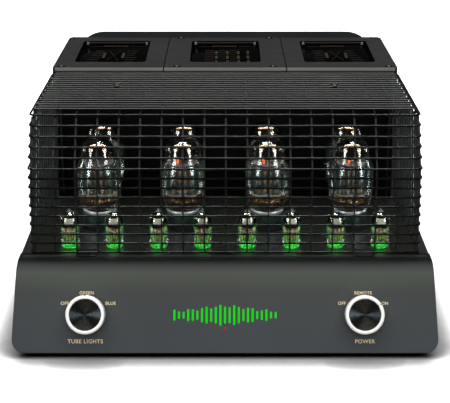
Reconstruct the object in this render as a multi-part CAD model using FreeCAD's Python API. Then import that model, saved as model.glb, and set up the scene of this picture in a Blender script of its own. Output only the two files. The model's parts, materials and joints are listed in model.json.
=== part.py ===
import FreeCAD, Part
import os, math
from FreeCAD import Vector as V

os.makedirs("parts", exist_ok=True)

# ---------------------------------------------------------------- driving dimensions (mm)
# X to the right, Y to the back, Z up; origin at the centre of the footprint, on the floor.
WIDTH_BOTTOM = 447.0        # fascia width at its lower edge
HALF_DECK = 218.1           # half width of the fascia where it meets the deck
HALF_BODY = 216.0           # half width over the side panels
FASCIA_T = 4.0              # fascia wall
LEAN = 22.62                # fascia lean from vertical, degrees
CORNER_R = 15.0             # lower corners of the fascia
TOP_R = 18.8                # bend between fascia and deck
Y0 = -216.16                # row Y of the fascia's lower front edge
Z_FASCIA = 6.0              # underside of the fascia
Z_DECK = 93.0               # top face of the deck
DECK_T = 2.0
D_FASCIA_END = 62.0         # fascia's flat top flange ends here (from the front edge)
D_HOUSING = 235.4           # transformer housing front
D_BACK = 404.0              # transformer housing back
REAR_T = 4.0                # rear panel
Z_COVER = 253.3             # top face of the transformer covers
COVER_T = 12.0
HUMP_TOP = 259.3            # top of the rear panel
HUMP_HALF = 194.4
HUMP_R = 37.0
KNOB_X = 144.5
KNOB_Z = 43.65              # height of the knob axis at the fascia
KNOB_R = 20.3
KNOB_L = 18.0
KNOB_STEP = 57.0            # degrees between knob positions
BIG_X = (-140.0, -47.0, 47.0, 140.0)
BIG_D = 143.5               # front row of output valves
REAR_D = 212.5              # second row, behind the first
D_WALL = 247.5              # wall behind the valves
BIG_R = 24.8
BIG_TOP = 196.5
SMALL_X = (-166.9, -119.2, -71.6, -23.9, 23.9, 71.6, 119.2, 166.9)
SMALL_D = 82.0
SMALL_R = 10.65
SMALL_TOP = 136.2
WIRE = 2.2                  # cage bar
CAGE_Z0 = 96.4              # lowest cage bar
CAGE_KINK = (33.1, 196.4)   # front of the cage, widest point forward (from front edge, height)
CAGE_TOP = (46.8, 251.4)
CAGE_BOT = (56.7, 96.4)
CAGE_BACK = 220.5
CAGE_PITCH = 21.7           # upright bars of the front
POST_X = (-92.0, -68.0, -44.0, 44.0, 68.0, 92.0)
POST_Z = 56.0
POST_L = 35.4               # binding post, out from the rear panel

S = math.sin(math.radians(LEAN))
C = math.cos(math.radians(LEAN))


def yy(d):
    return d + Y0


def save(name, *shapes):
    shapes = list(shapes)
    sh = shapes[0] if len(shapes) == 1 else Part.makeCompound(shapes)
    sh.exportStep("parts/%s.step" % name)
    sol = sh.Solids
    bad = [i for i, s in enumerate(sol) if not s.isValid() or s.Volume <= 0]
    bb = sh.BoundBox
    print("%-28s solids %3d  bad %s  X %.1f..%.1f Y %.1f..%.1f Z %.1f..%.1f" % (
        name, len(sol), bad, bb.XMin, bb.XMax, bb.YMin, bb.YMax, bb.ZMin, bb.ZMax))
    ALL.append(sh)


ALL = []


def box(x0, x1, y0, y1, z0, z1):
    return Part.makeBox(x1 - x0, y1 - y0, z1 - z0, V(x0, y0, z0))


def cyl(x, y, z0, z1, r):
    return Part.makeCylinder(r, z1 - z0, V(x, y, z0), V(0, 0, 1))


def cyly(x, z, y0, y1, r):
    return Part.makeCylinder(r, y1 - y0, V(x, y0, z), V(0, 1, 0))


def tube(x, y, z0, z1, ro, ri):
    return cyl(x, y, z0, z1, ro).cut(cyl(x, y, z0 - 1, z1 + 1, ri))


def tubey(x, z, y0, y1, ro, ri):
    return cyly(x, z, y0, y1, ro).cut(cyly(x, z, y0 - 1, y1 + 1, ri))


def poly(pts):
    return Part.Face(Part.makePolygon([V(*p) for p in pts] + [V(*pts[0])]))


def revolve(profile, x=0.0, y=0.0):
    # profile: closed list of (r, z)
    f = poly([(r, 0, z) for r, z in profile])
    s = f.revolve(V(0, 0, 0), V(0, 0, 1), 360)
    s.translate(V(x, y, 0))
    return s


def rounded_rect(x0, x1, y0, y1, z, r):
    e = [Part.makeLine(V(x0 + r, y0, z), V(x1 - r, y0, z)),
         Part.Arc(V(x1 - r, y0, z), V(x1 - r + r * math.sin(math.pi / 4), y0 + r - r * math.cos(math.pi / 4), z), V(x1, y0 + r, z)).toShape(),
         Part.makeLine(V(x1, y0 + r, z), V(x1, y1 - r, z)),
         Part.Arc(V(x1, y1 - r, z), V(x1 - r + r * math.sin(math.pi / 4), y1 - r + r * math.cos(math.pi / 4), z), V(x1 - r, y1, z)).toShape(),
         Part.makeLine(V(x1 - r, y1, z), V(x0 + r, y1, z)),
         Part.Arc(V(x0 + r, y1, z), V(x0 + r - r * math.sin(math.pi / 4), y1 - r + r * math.cos(math.pi / 4), z), V(x0, y1 - r, z)).toShape(),
         Part.makeLine(V(x0, y1 - r, z), V(x0, y0 + r, z)),
         Part.Arc(V(x0, y0 + r, z), V(x0 + r - r * math.sin(math.pi / 4), y0 + r - r * math.cos(math.pi / 4), z), V(x0 + r, y0, z)).toShape()]
    return Part.Face(Part.Wire(e))


def slab(x0, x1, y0, y1, z0, z1, r):
    return rounded_rect(x0, x1, y0, y1, z0, r).extrude(V(0, 0, z1 - z0))


# ---------------------------------------------------------------- front fascia
def plane_d(z):
    # front face of the fascia, distance back at height z
    return 2.9 + (z - 22.0) * S / C


d_int = plane_d(Z_DECK)
tl = TOP_R * math.tan(math.radians((90 - LEAN) / 2))
pa = (d_int - tl * S, Z_DECK - tl * C)          # bend starts
pb = (d_int + tl, Z_DECK)                       # bend ends
cc = (pb[0], Z_DECK - TOP_R)                    # bend centre
a0 = math.atan2(pa[1] - cc[1], pa[0] - cc[0])
a1 = math.pi / 2
am = (a0 + a1) / 2


def fp(r, a):
    return (cc[0] + r * math.cos(a), cc[1] + r * math.sin(a))


def P3(p):
    return V(0, yy(p[0]), p[1])


def L3(a, b):
    return Part.makeLine(P3(a), P3(b))


def A3(a, m, b):
    return Part.Arc(P3(a), P3(m), P3(b)).toShape()


ri = TOP_R - FASCIA_T
pai = (pa[0] + FASCIA_T * C, pa[1] - FASCIA_T * S)
pbi = (pb[0], Z_DECK - FASCIA_T)
low = plane_d(22.0)
front = Part.Face(Part.Wire([
    A3((-2.57, Z_FASCIA), (-3.236, 6.356), (plane_d(7.108), 7.108)),
    L3((plane_d(7.108), 7.108), pa),
    A3(pa, fp(TOP_R, am), pb),
    L3(pb, (D_FASCIA_END, Z_DECK)),
    L3((D_FASCIA_END, Z_DECK), (D_FASCIA_END, Z_DECK - FASCIA_T)),
    L3((D_FASCIA_END, Z_DECK - FASCIA_T), pbi),
    A3(pbi, fp(ri, am), pai),
    L3(pai, (plane_d(10.0) + FASCIA_T / C, 10.0)),
    L3((plane_d(10.0) + FASCIA_T / C, 10.0), (9.0, 10.0)),
    L3((9.0, 10.0), (9.0, Z_FASCIA)),
    L3((9.0, Z_FASCIA), (-2.57, Z_FASCIA))]))
fascia = front.extrude(V(480, 0, 0))
fascia.translate(V(-240, 0, 0))
hb = WIDTH_BOTTOM / 2
zb = Z_FASCIA - 0.01
sil = Part.makePolygon([V(-hb, 0, zb), V(hb, 0, zb), V(HALF_DECK, 0, Z_DECK + 0.01),
                        V(-HALF_DECK, 0, Z_DECK + 0.01), V(-hb, 0, zb)])
pr = Part.Face(sil).extrude(V(0, 400, 0))
pr.translate(V(0, yy(-20), 0))
edges = [e for e in pr.Edges if abs(e.BoundBox.ZMax - zb) < 1e-6 and e.BoundBox.YLength > 100]
pr = pr.makeFillet(CORNER_R, edges)
fascia = fascia.common(pr)
# local frame of the fascia face: z out of the face, y up along it
ROT = FreeCAD.Rotation(V(1, 0, 0), 90 - LEAN)


def on_face(shape, x, z):
    s = shape.copy()
    s.Placement = FreeCAD.Placement(V(x, yy(plane_d(z)), z), ROT).multiply(s.Placement)
    return s


cuts = []
for sx in (-1, 1):
    cuts.append(on_face(Part.makeCylinder(5.2, 30, V(0, 0, -15)), sx * KNOB_X, KNOB_Z))
# lit bars of the centre light, generic level-meter pattern, and the standby lamp
BARS = []
for i in range(23):
    u = (i - 11) / 11.0
    h = 8.0 + 11.0 * math.exp(-3.0 * u * u) + 3.0 * math.cos(i * 1.9)
    BARS.append(((i - 11) * 4.8, h))
BAR_W = 2.0
BAR_Z = 43.0
for x, h in BARS:
    cuts.append(on_face(Part.makeBox(BAR_W, h, 12, V(-BAR_W / 2, -h / 2, -8)), x, BAR_Z))
LED_Z = 29.7
cuts.append(on_face(Part.makeCylinder(1.6, 30, V(0, 0, -15)), 0, LED_Z))
fascia = fascia.cut(Part.makeCompound(cuts))
save("front_fascia", *fascia.Solids)
bars = [on_face(Part.makeBox(BAR_W, h, 4.0, V(-BAR_W / 2, -h / 2, -4.2)), x, BAR_Z) for x, h in BARS]
save("fascia_light_bars", *bars)
save("fascia_light_board", on_face(Part.makeBox(122, 34, 1.6, V(-61, -13, -8.2)), 0, BAR_Z))
save("standby_lamp", on_face(Part.makeCylinder(1.6, 6.0, V(0, 0, -5.9)), 0, LED_Z))

# ---------------------------------------------------------------- knobs, shafts and rotary switches
for name, sx, ang in (("tube_light_knob", -1, 0.0), ("power_knob", 1, -KNOB_STEP)):
    prof = [(3.0, 2.0), (KNOB_R - 1.3, 2.0), (KNOB_R - 1.3, 3.2), (KNOB_R, 3.8), (KNOB_R, KNOB_L - 1.1),
            (KNOB_R - 1.1, KNOB_L), (KNOB_R - 3.6, KNOB_L), (KNOB_R - 4.3, KNOB_L - 0.9),
            (KNOB_R - 4.3, KNOB_L - 2.4), (3.0, KNOB_L - 2.4)]
    k = revolve(prof)
    notch = Part.makeBox(1.5, 6.0, 2.0, V(-0.75, KNOB_R - 4.4, KNOB_L - 0.7))
    k = k.cut(notch)
    disc = revolve([(0.0, KNOB_L - 2.3), (KNOB_R - 4.35, KNOB_L - 2.3), (KNOB_R - 4.35, KNOB_L - 1.0),
                    (KNOB_R - 5.0, KNOB_L - 0.7), (0.0, KNOB_L - 1.1)])
    shaft = Part.makeCylinder(3.0, 26.0, V(0, 0, -10.4))
    for s in (k, disc, shaft):
        s.rotate(V(0, 0, 0), V(0, 0, 1), ang)
    save(name, *[on_face(q, sx * KNOB_X, KNOB_Z) for q in (k, disc, shaft)])
bush, sw = [], []
for sx in (-1, 1):
    b = revolve([(3.06, -9.0), (5.0, -9.0), (5.0, 0.3), (3.06, 0.3)])
    nut = revolve([(5.05, 0.02), (7.5, 0.02), (7.5, 1.6), (5.05, 1.6)])
    bush.append(on_face(b, sx * KNOB_X, KNOB_Z))
    bush.append(on_face(nut, sx * KNOB_X, KNOB_Z))
    body = Part.makeCylinder(14.0, 20.0, V(0, 0, -29.2)).cut(Part.makeCylinder(3.06, 12.0, V(0, 0, -11.0)))
    sw.append(on_face(body, sx * KNOB_X, KNOB_Z))
save("rotary_switches", *(sw + bush))

# ---------------------------------------------------------------- chassis panels
side_pts = [(10.2, 8.4), (11.0, 14.0), (low + 6.0, 22.0), (pa[0] + 6.2, pa[1] - 2.4), (pb[0] - 1.0, Z_DECK - 7.0),
            (D_FASCIA_END + 0.3, Z_DECK - 5.0), (D_FASCIA_END + 0.3, Z_DECK - DECK_T - 0.05), (D_BACK + 0.8, Z_DECK - DECK_T - 0.05), (D_BACK + 0.8, 8.4)]
panels = []
for x0 in (-HALF_BODY, HALF_BODY - 2.0):
    s = poly([(x0, yy(d), z) for d, z in side_pts]).extrude(V(2.0, 0, 0))
    sl = [box(x0 - 1, x0 + 3, yy(110 + i * 9), yy(113 + i * 9), 30, 68) for i in range(12)]
    panels.append(s.cut(Part.makeCompound(sl)))
save("side_panels", *panels)

bot = box(-HALF_BODY, HALF_BODY, yy(9.6), yy(D_BACK + 0.8), 6.8, 8.3)
FEET = [(sx * 184.0, yy(d)) for sx in (-1, 1) for d in (46.0, 366.0)]
bc = [cyl(x, y, 0, 20, 2.1) for x, y in FEET]
bc += [box(-150 + i * 20, -146 + i * 20, yy(110), yy(190), 5, 10) for i in range(16)]
save("bottom_cover", bot.cut(Part.makeCompound(bc)))
save("feet", *[revolve([(2.1, 0), (15.5, 0), (17.5, 1.2), (18.5, 6.75), (2.1, 6.75)], x, y)
               .cut(cyl(x, y, -1, 3.0, 5.0)) for x, y in FEET])
foot_screws = [Part.makeCylinder(2.0, 9.0, V(x, y, 2.9)).fuse(cyl(x, y, 1.2, 3.0, 4.2)) for x, y in FEET]

deck = box(-HALF_BODY - 0.9, HALF_BODY + 0.9, yy(D_FASCIA_END + 0.2), yy(D_BACK + 0.8), Z_DECK - DECK_T, Z_DECK)
dc = [cyl(x, yy(d), 80, 100, 18.6) for d in (BIG_D, REAR_D) for x in BIG_X] + [cyl(x, yy(SMALL_D), 80, 100, 12.2) for x in SMALL_X]
for gx in (-93.5, 0.0, 93.5):
    for i in range(11):
        dc.append(box(gx - 12, gx + 12, yy(112 + i * 11.5), yy(114.6 + i * 11.5), 80, 100))
for gx in (-186, 186):
    for i in range(11):
        dc.append(box(gx - 8, gx + 8, yy(112 + i * 11.5), yy(114.6 + i * 11.5), 80, 100))
BRK_X = 119.35
save("top_deck", deck.cut(Part.makeCompound(dc)))

# ---------------------------------------------------------------- transformer housing
HZ0, HZ1 = Z_DECK + 0.05, Z_COVER - COVER_T - 0.05
hf = box(-195.6, 195.6, yy(D_WALL), yy(D_WALL + 2.0), HZ0, HZ1)
save("housing_front", hf)
sides = []
for sx in (-1, 1):
    e = Part.Face(Part.makePolygon([V(sx * 196.3, yy(D_HOUSING + 0.6), HZ0), V(sx * 198.3, yy(D_HOUSING + 1.6), HZ0),
                                    V(sx * 196.6, yy(D_BACK + 0.8), HZ0), V(sx * 194.6, yy(D_BACK + 0.8), HZ0),
                                    V(sx * 196.3, yy(D_HOUSING + 0.6), HZ0)]))
    s = e.extrude(V(0, 0, HZ1 - HZ0))
    vs = [box(sx * 196.4 - 4, sx * 196.4 + 4, yy(260 + i * 10), yy(263 + i * 10), 120, 205) for i in range(12)]
    sides.append(s.cut(Part.makeCompound(vs)))
save("housing_sides", *sides)

COVERS = (("left", [(-199.2, D_HOUSING), (-71.4, D_HOUSING), (-69.9, D_BACK), (-197.3, D_BACK)], (-176.2, -93.3)),
          ("centre", [(-70.6, D_HOUSING), (70.6, D_HOUSING), (69.1, D_BACK), (-69.1, D_BACK)], (-41.2, 41.9)),
          ("right", [(71.4, D_HOUSING), (199.2, D_HOUSING), (197.3, D_BACK), (69.9, D_BACK)], (93.3, 176.2)))
WIN_D = (265.0, 379.4)
screws, covers, panes = [], [], []
for name, q, wx in COVERS:
    f = Part.Face(Part.makePolygon([V(x, yy(d), Z_COVER - COVER_T) for x, d in q + [q[0]]]))
    c = f.extrude(V(0, 0, COVER_T))
    ve = [e for e in c.Edges if e.BoundBox.ZLength > COVER_T - 0.5 and (abs(e.CenterOfMass.x) > 150)]
    if ve:
        c = c.makeFillet(4.0, ve)
    fe = [e for e in c.Edges if e.BoundBox.ZMin > Z_COVER - 0.01 and e.CenterOfMass.y < yy(D_HOUSING + 1) and e.BoundBox.XLength > 50]
    c = c.makeChamfer(0.6, fe)
    c = c.cut(box(-195.0, 195.0, yy(D_HOUSING - 1), yy(D_HOUSING + 1.4), Z_COVER - 5.1, Z_COVER - 4.0))
    pocket = slab(wx[0], wx[1], yy(WIN_D[0]), yy(WIN_D[1]), Z_COVER - 6.2, Z_COVER + 2, 5.0)
    hx = {"left": (-189.3,), "centre": (-55.6, 55.6), "right": (189.3,)}[name]
    holes = []
    for x in hx:
        for d in (D_HOUSING + 8.0, D_BACK - 6.0):
            holes.append(cyl(x, yy(d), Z_COVER - 20, Z_COVER + 2, 2.1))
            holes.append(cyl(x, yy(d), Z_COVER - 2.2, Z_COVER + 2, 4.4))
            screws.append(cyl(x, yy(d), Z_COVER - 16.0, Z_COVER - 2.1, 2.0).fuse(cyl(x, yy(d), Z_COVER - 2.15, Z_COVER - 0.3, 3.9))
                          .cut(cyl(x, yy(d), Z_COVER - 1.6, Z_COVER, 1.7)))
    covers.append(c.cut(Part.makeCompound([pocket] + holes)))
    panes.append(slab(wx[0] + 0.15, wx[1] - 0.15, yy(WIN_D[0] + 0.15), yy(WIN_D[1] - 0.15), Z_COVER - 6.15, Z_COVER - 4.2, 4.9))
save("transformer_covers", *covers)
save("window_panes", *panes)
save("cover_and_foot_screws", *(screws + foot_screws))

# transformers: laminated cores standing on the deck, with their coils
cores, coils = [], []
for xs, hw, hz, st in (((-130.0, 130.0), 52.0, 46.0, 33.0), ((0.0,), 60.0, 52.0, 40.0)):
    for x in xs:
        yc, zc = yy(322.0), Z_DECK + 4.0 + hz
        leg = hw / 3.0
        core = box(x - hw, x + hw, yc - st, yc + st, zc - hz, zc + hz)
        for s in (-1, 1):
            w0, w1 = sorted((x + s * leg, x + s * leg * 2.1))
            core = core.cut(box(w0, w1, yc - st - 1, yc + st + 1, zc - hz + leg * 0.95, zc + hz - leg * 0.95))
        cores.append(core)
        ch = hz - leg * 0.95 - 0.5
        coil = box(x - leg * 2.1 + 0.5, x + leg * 2.1 - 0.5, yc - st - 17, yc + st + 17, zc - ch, zc + ch)
        ce = [e for e in coil.Edges if e.BoundBox.ZLength > 2 * ch - 1]
        coil = coil.makeFillet(9.0, ce).cut(box(x - leg - 0.3, x + leg + 0.3, yc - st - 0.3, yc + st + 0.3, zc - ch - 1, zc + ch + 1))
        coils.append(coil)
save("transformer_cores", *cores)
save("transformer_coils", *coils)
frames = []
for x, hw, st in ((-130.0, 52.0, 33.0), (0.0, 60.0, 40.0), (130.0, 52.0, 33.0)):
    yc = yy(322.0)
    for s in (-1, 1):
        frames.append(box(x - hw, x + hw, yc + s * (st - 6.0) - 6.0, yc + s * (st - 6.0) + 6.0, Z_DECK + 0.1, Z_DECK + 3.9))
save("transformer_mount_rails", *frames)

# ---------------------------------------------------------------- boards and parts under the deck
save("tube_socket_board", box(-206, 206, yy(62), yy(236), 58.0, 59.6))
so = [(sx * 200.0, yy(d)) for sx in (-1, 1) for d in (70.0, 198.0)] + [(0.0, yy(180.0))]
save("board_standoffs", *([tube(x, y, 59.65, Z_DECK - DECK_T - 0.05, 3.0, 1.6) for x, y in so] +
                          [tube(x, yy(d), 8.35, 15.95, 3.0, 1.6) for x in (-143, 143) for d in (248, 384)]))
save("supply_and_input_boards", box(-150, 150, yy(240), yy(392), 16.0, 17.6), box(128, 206, yy(345), yy(380), 40.0, 41.6))
caps = []
for x, d in ((-96, 285), (-48, 285), (48, 285), (96, 285)):
    caps.append(revolve([(0, 17.65), (17.5, 17.65), (17.5, 72.0), (16.3, 74.0), (0, 74.0)], x, yy(d)))
save("filter_capacitors", *caps)

# ---------------------------------------------------------------- valve sockets
oct_s, nov_s, led_s = [], [], []
for x, y in [(x, yy(d)) for d in (BIG_D, REAR_D) for x in BIG_X]:
    s = revolve([(4.2, 59.7), (15.5, 59.7), (15.5, 84.0), (17.8, 84.0), (17.8, Z_DECK + 1.2), (4.2, Z_DECK + 1.2)], x, y)
    h = [cyl(x + 8.75 * math.cos(math.radians(45 * i + 22.5)), y + 8.75 * math.sin(math.radians(45 * i + 22.5)), 76, 100, 1.45) for i in range(8)]
    oct_s.append(s.cut(Part.makeCompound(h)))
for x in SMALL_X:
    y = yy(SMALL_D)
    s = revolve([(2.6, 59.7), (9.6, 59.7), (9.6, 82.0), (11.6, 82.0), (11.6, Z_DECK - 0.6), (2.6, Z_DECK - 0.6)], x, y)
    h = [cyl(x + 5.95 * math.cos(math.radians(36 * i)), y + 5.95 * math.sin(math.radians(36 * i)), 78, 100, 0.8) for i in range(9)]
    nov_s.append(s.cut(Part.makeCompound(h)))
    led_s.append(revolve([(0, 59.7), (2.4, 59.7), (2.4, 84.0), (1.4, 86.2), (0, 86.6)], x, y))
save("output_valve_sockets", *oct_s)
save("small_valve_sockets", *nov_s)
save("valve_lamps", *led_s)

# ---------------------------------------------------------------- output valves
base, pins, ring, glass, plate, mica, getter = [], [], [], [], [], [], []
for x, y in [(x, yy(d)) for d in (BIG_D, REAR_D) for x in BIG_X]:
    base.append(revolve([(0, 94.3), (17.2, 94.3), (18.4, 95.4), (18.4, 112.4), (18.95, 114.0), (18.7, 115.5), (17.6, 116.3), (17.0, 115.6),
                         (17.0, 112.8), (0, 112.8)], x, y))
    for i in range(8):
        a = math.radians(45 * i + 22.5)
        pins.append(cyl(x + 8.75 * math.cos(a), y + 8.75 * math.sin(a), 80.0, 94.25, 1.3))
    pins.append(cyl(x, y, 80.0, 94.25, 3.9))
    outer = [(14.0, 113.0), (16.2, 113.8), (16.8, 116.6), (18.2, 118.6), (20.0, 120.8), (21.8, 123.4), (23.4, 127.0), (24.3, 131.0), (BIG_R, 136.0), (BIG_R, 160.0),
             (24.5, 163.6), (23.6, 166.8), (22.0, 169.6), (20.3, 172.2), (19.3, 175.0), (18.9, 178.0), (18.7, 184.0), (18.2, 187.4), (16.9, 190.4),
             (14.6, 193.0), (11.2, 195.0), (7.0, 196.1), (3.0, BIG_TOP)]
    inner = [(max(r - 1.2, 0.5), z - (1.2 if z > 189 else 0)) for r, z in reversed(outer[4:])]
    prof = outer + [(0, BIG_TOP), (0, BIG_TOP - 1.3)] + inner + [(15.4, 116.8), (13.4, 114.3), (0, 114.3), (0, 113.0)]
    glass.append(revolve(prof, x, y))
    body = slab(x - 15.5, x + 15.5, y - 9.5, y + 9.5, 133.5, 168.5, 6.0).cut(slab(x - 14.7, x + 14.7, y - 8.7, y + 8.7, 132.0, 170.0, 5.4))
    plate.append(body)
    core = cyl(x, y, 133.5, 168.5, 3.4)
    plate.append(core)
    mica.append(cyl(x, y, 132.4, 133.4, 19.0))
    mica.append(cyl(x, y, 168.6, 169.6, 17.4))
    mica.append(cyl(x, y, 185.0, 186.0, 14.0))
    getter.append(tube(x, y, 189.6, 190.8, 8.0, 6.6))
    getter.append(cyl(x - 7.3, y, 186.1, 189.55, 0.5))
    for a in (30, 150, 270):
        getter.append(cyl(x + 12 * math.cos(math.radians(a)), y + 12 * math.sin(math.radians(a)), 114.4, 132.35, 0.9))
        getter.append(cyl(x + 12 * math.cos(math.radians(a)), y + 12 * math.sin(math.radians(a)), 169.65, 184.95, 0.8))
save("output_valve_bases", *base)
big_pins = pins
save("output_valve_glass", *glass)
save("output_valve_anodes", *plate)
save("output_valve_supports", *(mica + getter))

# ---------------------------------------------------------------- small valves
glass, plate, mica, pins = [], [], [], []
for x in SMALL_X:
    y = yy(SMALL_D)
    z0 = Z_DECK - 0.4
    outer = [(7.5, z0), (SMALL_R - 0.8, z0 + 0.8), (SMALL_R, z0 + 3.0), (SMALL_R, 125.0), (SMALL_R - 1.2, 129.0), (6.6, 132.0), (2.6, 133.3),
             (1.5, 134.6), (0.6, SMALL_TOP)]
    prof = outer + [(0, SMALL_TOP), (0, SMALL_TOP - 1.4), (0.6, 133.0), (1.8, 132.3), (5.9, 131.2), (SMALL_R - 2.1, 128.3), (SMALL_R - 1.0, 124.6),
                    (SMALL_R - 1.0, z0 + 3.2), (7.0, z0 + 1.6), (0, z0 + 1.6), (0, z0)]
    glass.append(revolve(prof, x, y))
    plate.append(slab(x - 6.4, x - 0.5, y - 3.6, y + 3.6, 99.4, 111.8, 1.2))
    plate.append(slab(x + 0.5, x + 6.4, y - 3.6, y + 3.6, 99.4, 111.8, 1.2))
    mica.append(cyl(x, y, 98.5, 99.3, 8.6))
    mica.append(cyl(x, y, 111.9, 112.7, 8.8))
    mica.append(tube(x, y, 118.0, 118.8, 4.6, 3.6))
    for i in range(9):
        a = math.radians(36 * i)
        pins.append(cyl(x + 5.95 * math.cos(a), y + 5.95 * math.sin(a), 84.0, z0 - 0.05, 0.55))
save("small_valve_glass", *glass)
save("small_valve_electrodes", *(plate + mica))
save("valve_pins", *(big_pins + pins))

# ---------------------------------------------------------------- valve cage, flat welded grids of square bar
def hw_at(z):
    return 206.4 - 0.0487 * (z - CAGE_Z0)


def grid(o, eu, ev, us, vs, thick):
    # plate in the plane (o, eu, ev) from which the cells between the bars are left open
    n = eu.cross(ev)
    w = WIRE

    def pt(u, v):
        return o + eu * u + ev * v

    def loop(a, b, c, d):
        return Part.makePolygon([pt(a, c), pt(b, c), pt(b, d), pt(a, d), pt(a, c)])

    wires = []
    for i in range(len(us) - 1):
        for j in range(len(vs) - 1):
            wires.append(loop(us[i] + w / 2, us[i + 1] - w / 2, vs[j] + w / 2, vs[j + 1] - w / 2))
    outer = loop(us[0] - w / 2, us[-1] + w / 2, vs[0] - w / 2, vs[-1] + w / 2)
    f = Part.Face([outer] + wires)
    f.validate()
    return f.extrude(n * thick)


def span(a, b, n):
    return [a + (b - a) * i / n for i in range(n + 1)]


def front_grid(bot, top, rows):
    p0 = V(0, yy(bot[0]), bot[1])
    ev = V(0, top[0] - bot[0], top[1] - bot[1])
    ln = ev.Length
    ev.normalize()
    hwm = hw_at((bot[1] + top[1]) / 2) - 1.4
    return grid(p0, V(1, 0, 0), ev, [-hwm] + [k * CAGE_PITCH + 0.85 for k in range(-8, 9)] + [hwm], span(1.1, ln - 1.1, rows), -WIRE)


save("cage_front_lower", front_grid(CAGE_BOT, (CAGE_KINK[0], CAGE_KINK[1] - 0.7), 9))
save("cage_front_upper", front_grid((CAGE_KINK[0], CAGE_KINK[1] + 0.9), CAGE_TOP, 5))
hwt = hw_at(CAGE_TOP[1]) - 1.2
top = grid(V(0, yy(CAGE_TOP[0] + 3.2), CAGE_TOP[1]), V(1, 0, 0), V(0, 1, 0), [-hwt] + [k * CAGE_PITCH + 0.85 for k in range(-8, 9)] + [hwt],
           [1.1] + [15.0 + 8.97 * i for i in range(18)], -WIRE)
save("cage_top", top)
cage_sides = []
for sx in (-1, 1):
    # side polygon (from front edge, height), leaning in towards the top
    a = math.atan(0.0487)
    o = V(sx * hw_at(CAGE_Z0), yy(0), CAGE_Z0)
    ev = V(-sx * math.sin(a), 0, math.cos(a))
    eu = V(0, 1, 0)
    vt = CAGE_TOP[1] - WIRE - CAGE_Z0 - 0.25
    outl = [(CAGE_BOT[0] + 3.0, 0.0), (CAGE_KINK[0] + 3.2, 99.9), (CAGE_TOP[0] + 3.0, vt), (CAGE_BACK, vt), (CAGE_BACK, 0.0)]

    def pt(u, v):
        return o + eu * u + ev * v
    rows = span(0, 99.9, 9) + span(99.9, vt, 5)[1:]
    cols = [72 + (CAGE_BACK - 72) * i / 7.0 for i in range(8)]

    def front_at(v):
        if v < 99.9:
            return CAGE_BOT[0] + 3.0 + (CAGE_KINK[0] + 0.2 - CAGE_BOT[0]) * v / 99.9
        return CAGE_KINK[0] + 3.2 + (CAGE_TOP[0] - 0.2 - CAGE_KINK[0]) * (v - 99.9) / (vt - 99.9)
    wires = []
    w = WIRE
    for j in range(len(rows) - 1):
        v0, v1 = rows[j] + w / 2, rows[j + 1] - w / 2
        if j == 0:
            v0 = rows[0] + w
        if j == len(rows) - 2:
            v1 = rows[j + 1] - w
        f0, f1 = front_at(v0) + w, front_at(v1) + w
        wires.append(Part.makePolygon([pt(f0, v0), pt(cols[0] - w / 2, v0), pt(cols[0] - w / 2, v1), pt(f1, v1), pt(f0, v0)]))
        for i in range(len(cols) - 1):
            a0_, a1_ = cols[i] + w / 2, cols[i + 1] - w / 2
            if i == len(cols) - 2:
                a1_ = cols[i + 1] - w
            wires.append(Part.makePolygon([pt(a0_, v0), pt(a1_, v0), pt(a1_, v1), pt(a0_, v1), pt(a0_, v0)]))
    out = Part.makePolygon([pt(*p) for p in outl + [outl[0]]])
    f = Part.Face([out] + wires)
    f.validate()
    n = eu.cross(ev)
    if n.x * sx > 0:
        n = n * -1
    cage_sides.append(f.extrude(n * w))
save("cage_sides", *cage_sides)
# fixing tabs under the cage top, on brackets of the housing, with captive screws
tabs, scr, brk = [], [], []
BRK_D = 159.2
for sx in (-1, 1):
    x = sx * BRK_X + 0.85
    zt = CAGE_TOP[1] - WIRE
    tabs.append(box(x - 12, x + 12, yy(BRK_D - 8), yy(BRK_D + 8), zt - 1.6, zt).cut(cyl(x, yy(BRK_D), 200, 260, 2.2)))
    scr.append(cyl(x, yy(BRK_D), zt - 12.0, zt + WIRE + 0.1, 2.0).fuse([cyl(x, yy(BRK_D), zt + WIRE + 0.05, zt + WIRE + 0.85, 5.6),
                                                                       cyl(x, yy(BRK_D), zt + WIRE + 0.8, zt + WIRE + 2.6, 3.0)]).removeSplitter())
    pl = box(x - 9, x + 9, yy(BRK_D - 7), yy(D_HOUSING - 0.3), zt - 3.8, zt - 1.8)
    up = box(x - 9, x + 9, yy(D_HOUSING - 2.3), yy(D_HOUSING - 0.3), zt - 34.0, zt - 1.8)
    shelf = box(x - 9, x + 9, yy(D_HOUSING - 2.3), yy(D_WALL - 0.05), zt - 34.0, zt - 32.0)
    pad = box(x - 9, x + 9, yy(D_WALL - 2.05), yy(D_WALL - 0.05), zt - 34.0, Z_COVER - COVER_T - 0.3)
    brk.append(pl.fuse([up, shelf, pad]).removeSplitter().cut(cyl(x, yy(BRK_D), 200, 260, 2.3)))
ft = []
for sx in (-1, 1):
    x = sx * 147.1
    ft.append(box(x - 10.2, x + 10.2, yy(CAGE_BOT[0] - 6.2), yy(CAGE_BOT[0] + 4.4), Z_DECK + 0.05, Z_DECK + 1.3)
              .fuse(box(x - 10.2, x + 10.2, yy(CAGE_BOT[0] + 2.6), yy(CAGE_BOT[0] + 4.4), Z_DECK + 0.05, CAGE_Z0 + 1.6)).removeSplitter())
save("cage_tabs", *(tabs + ft))
save("cage_screws", *scr)
save("cage_brackets", *brk)

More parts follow.
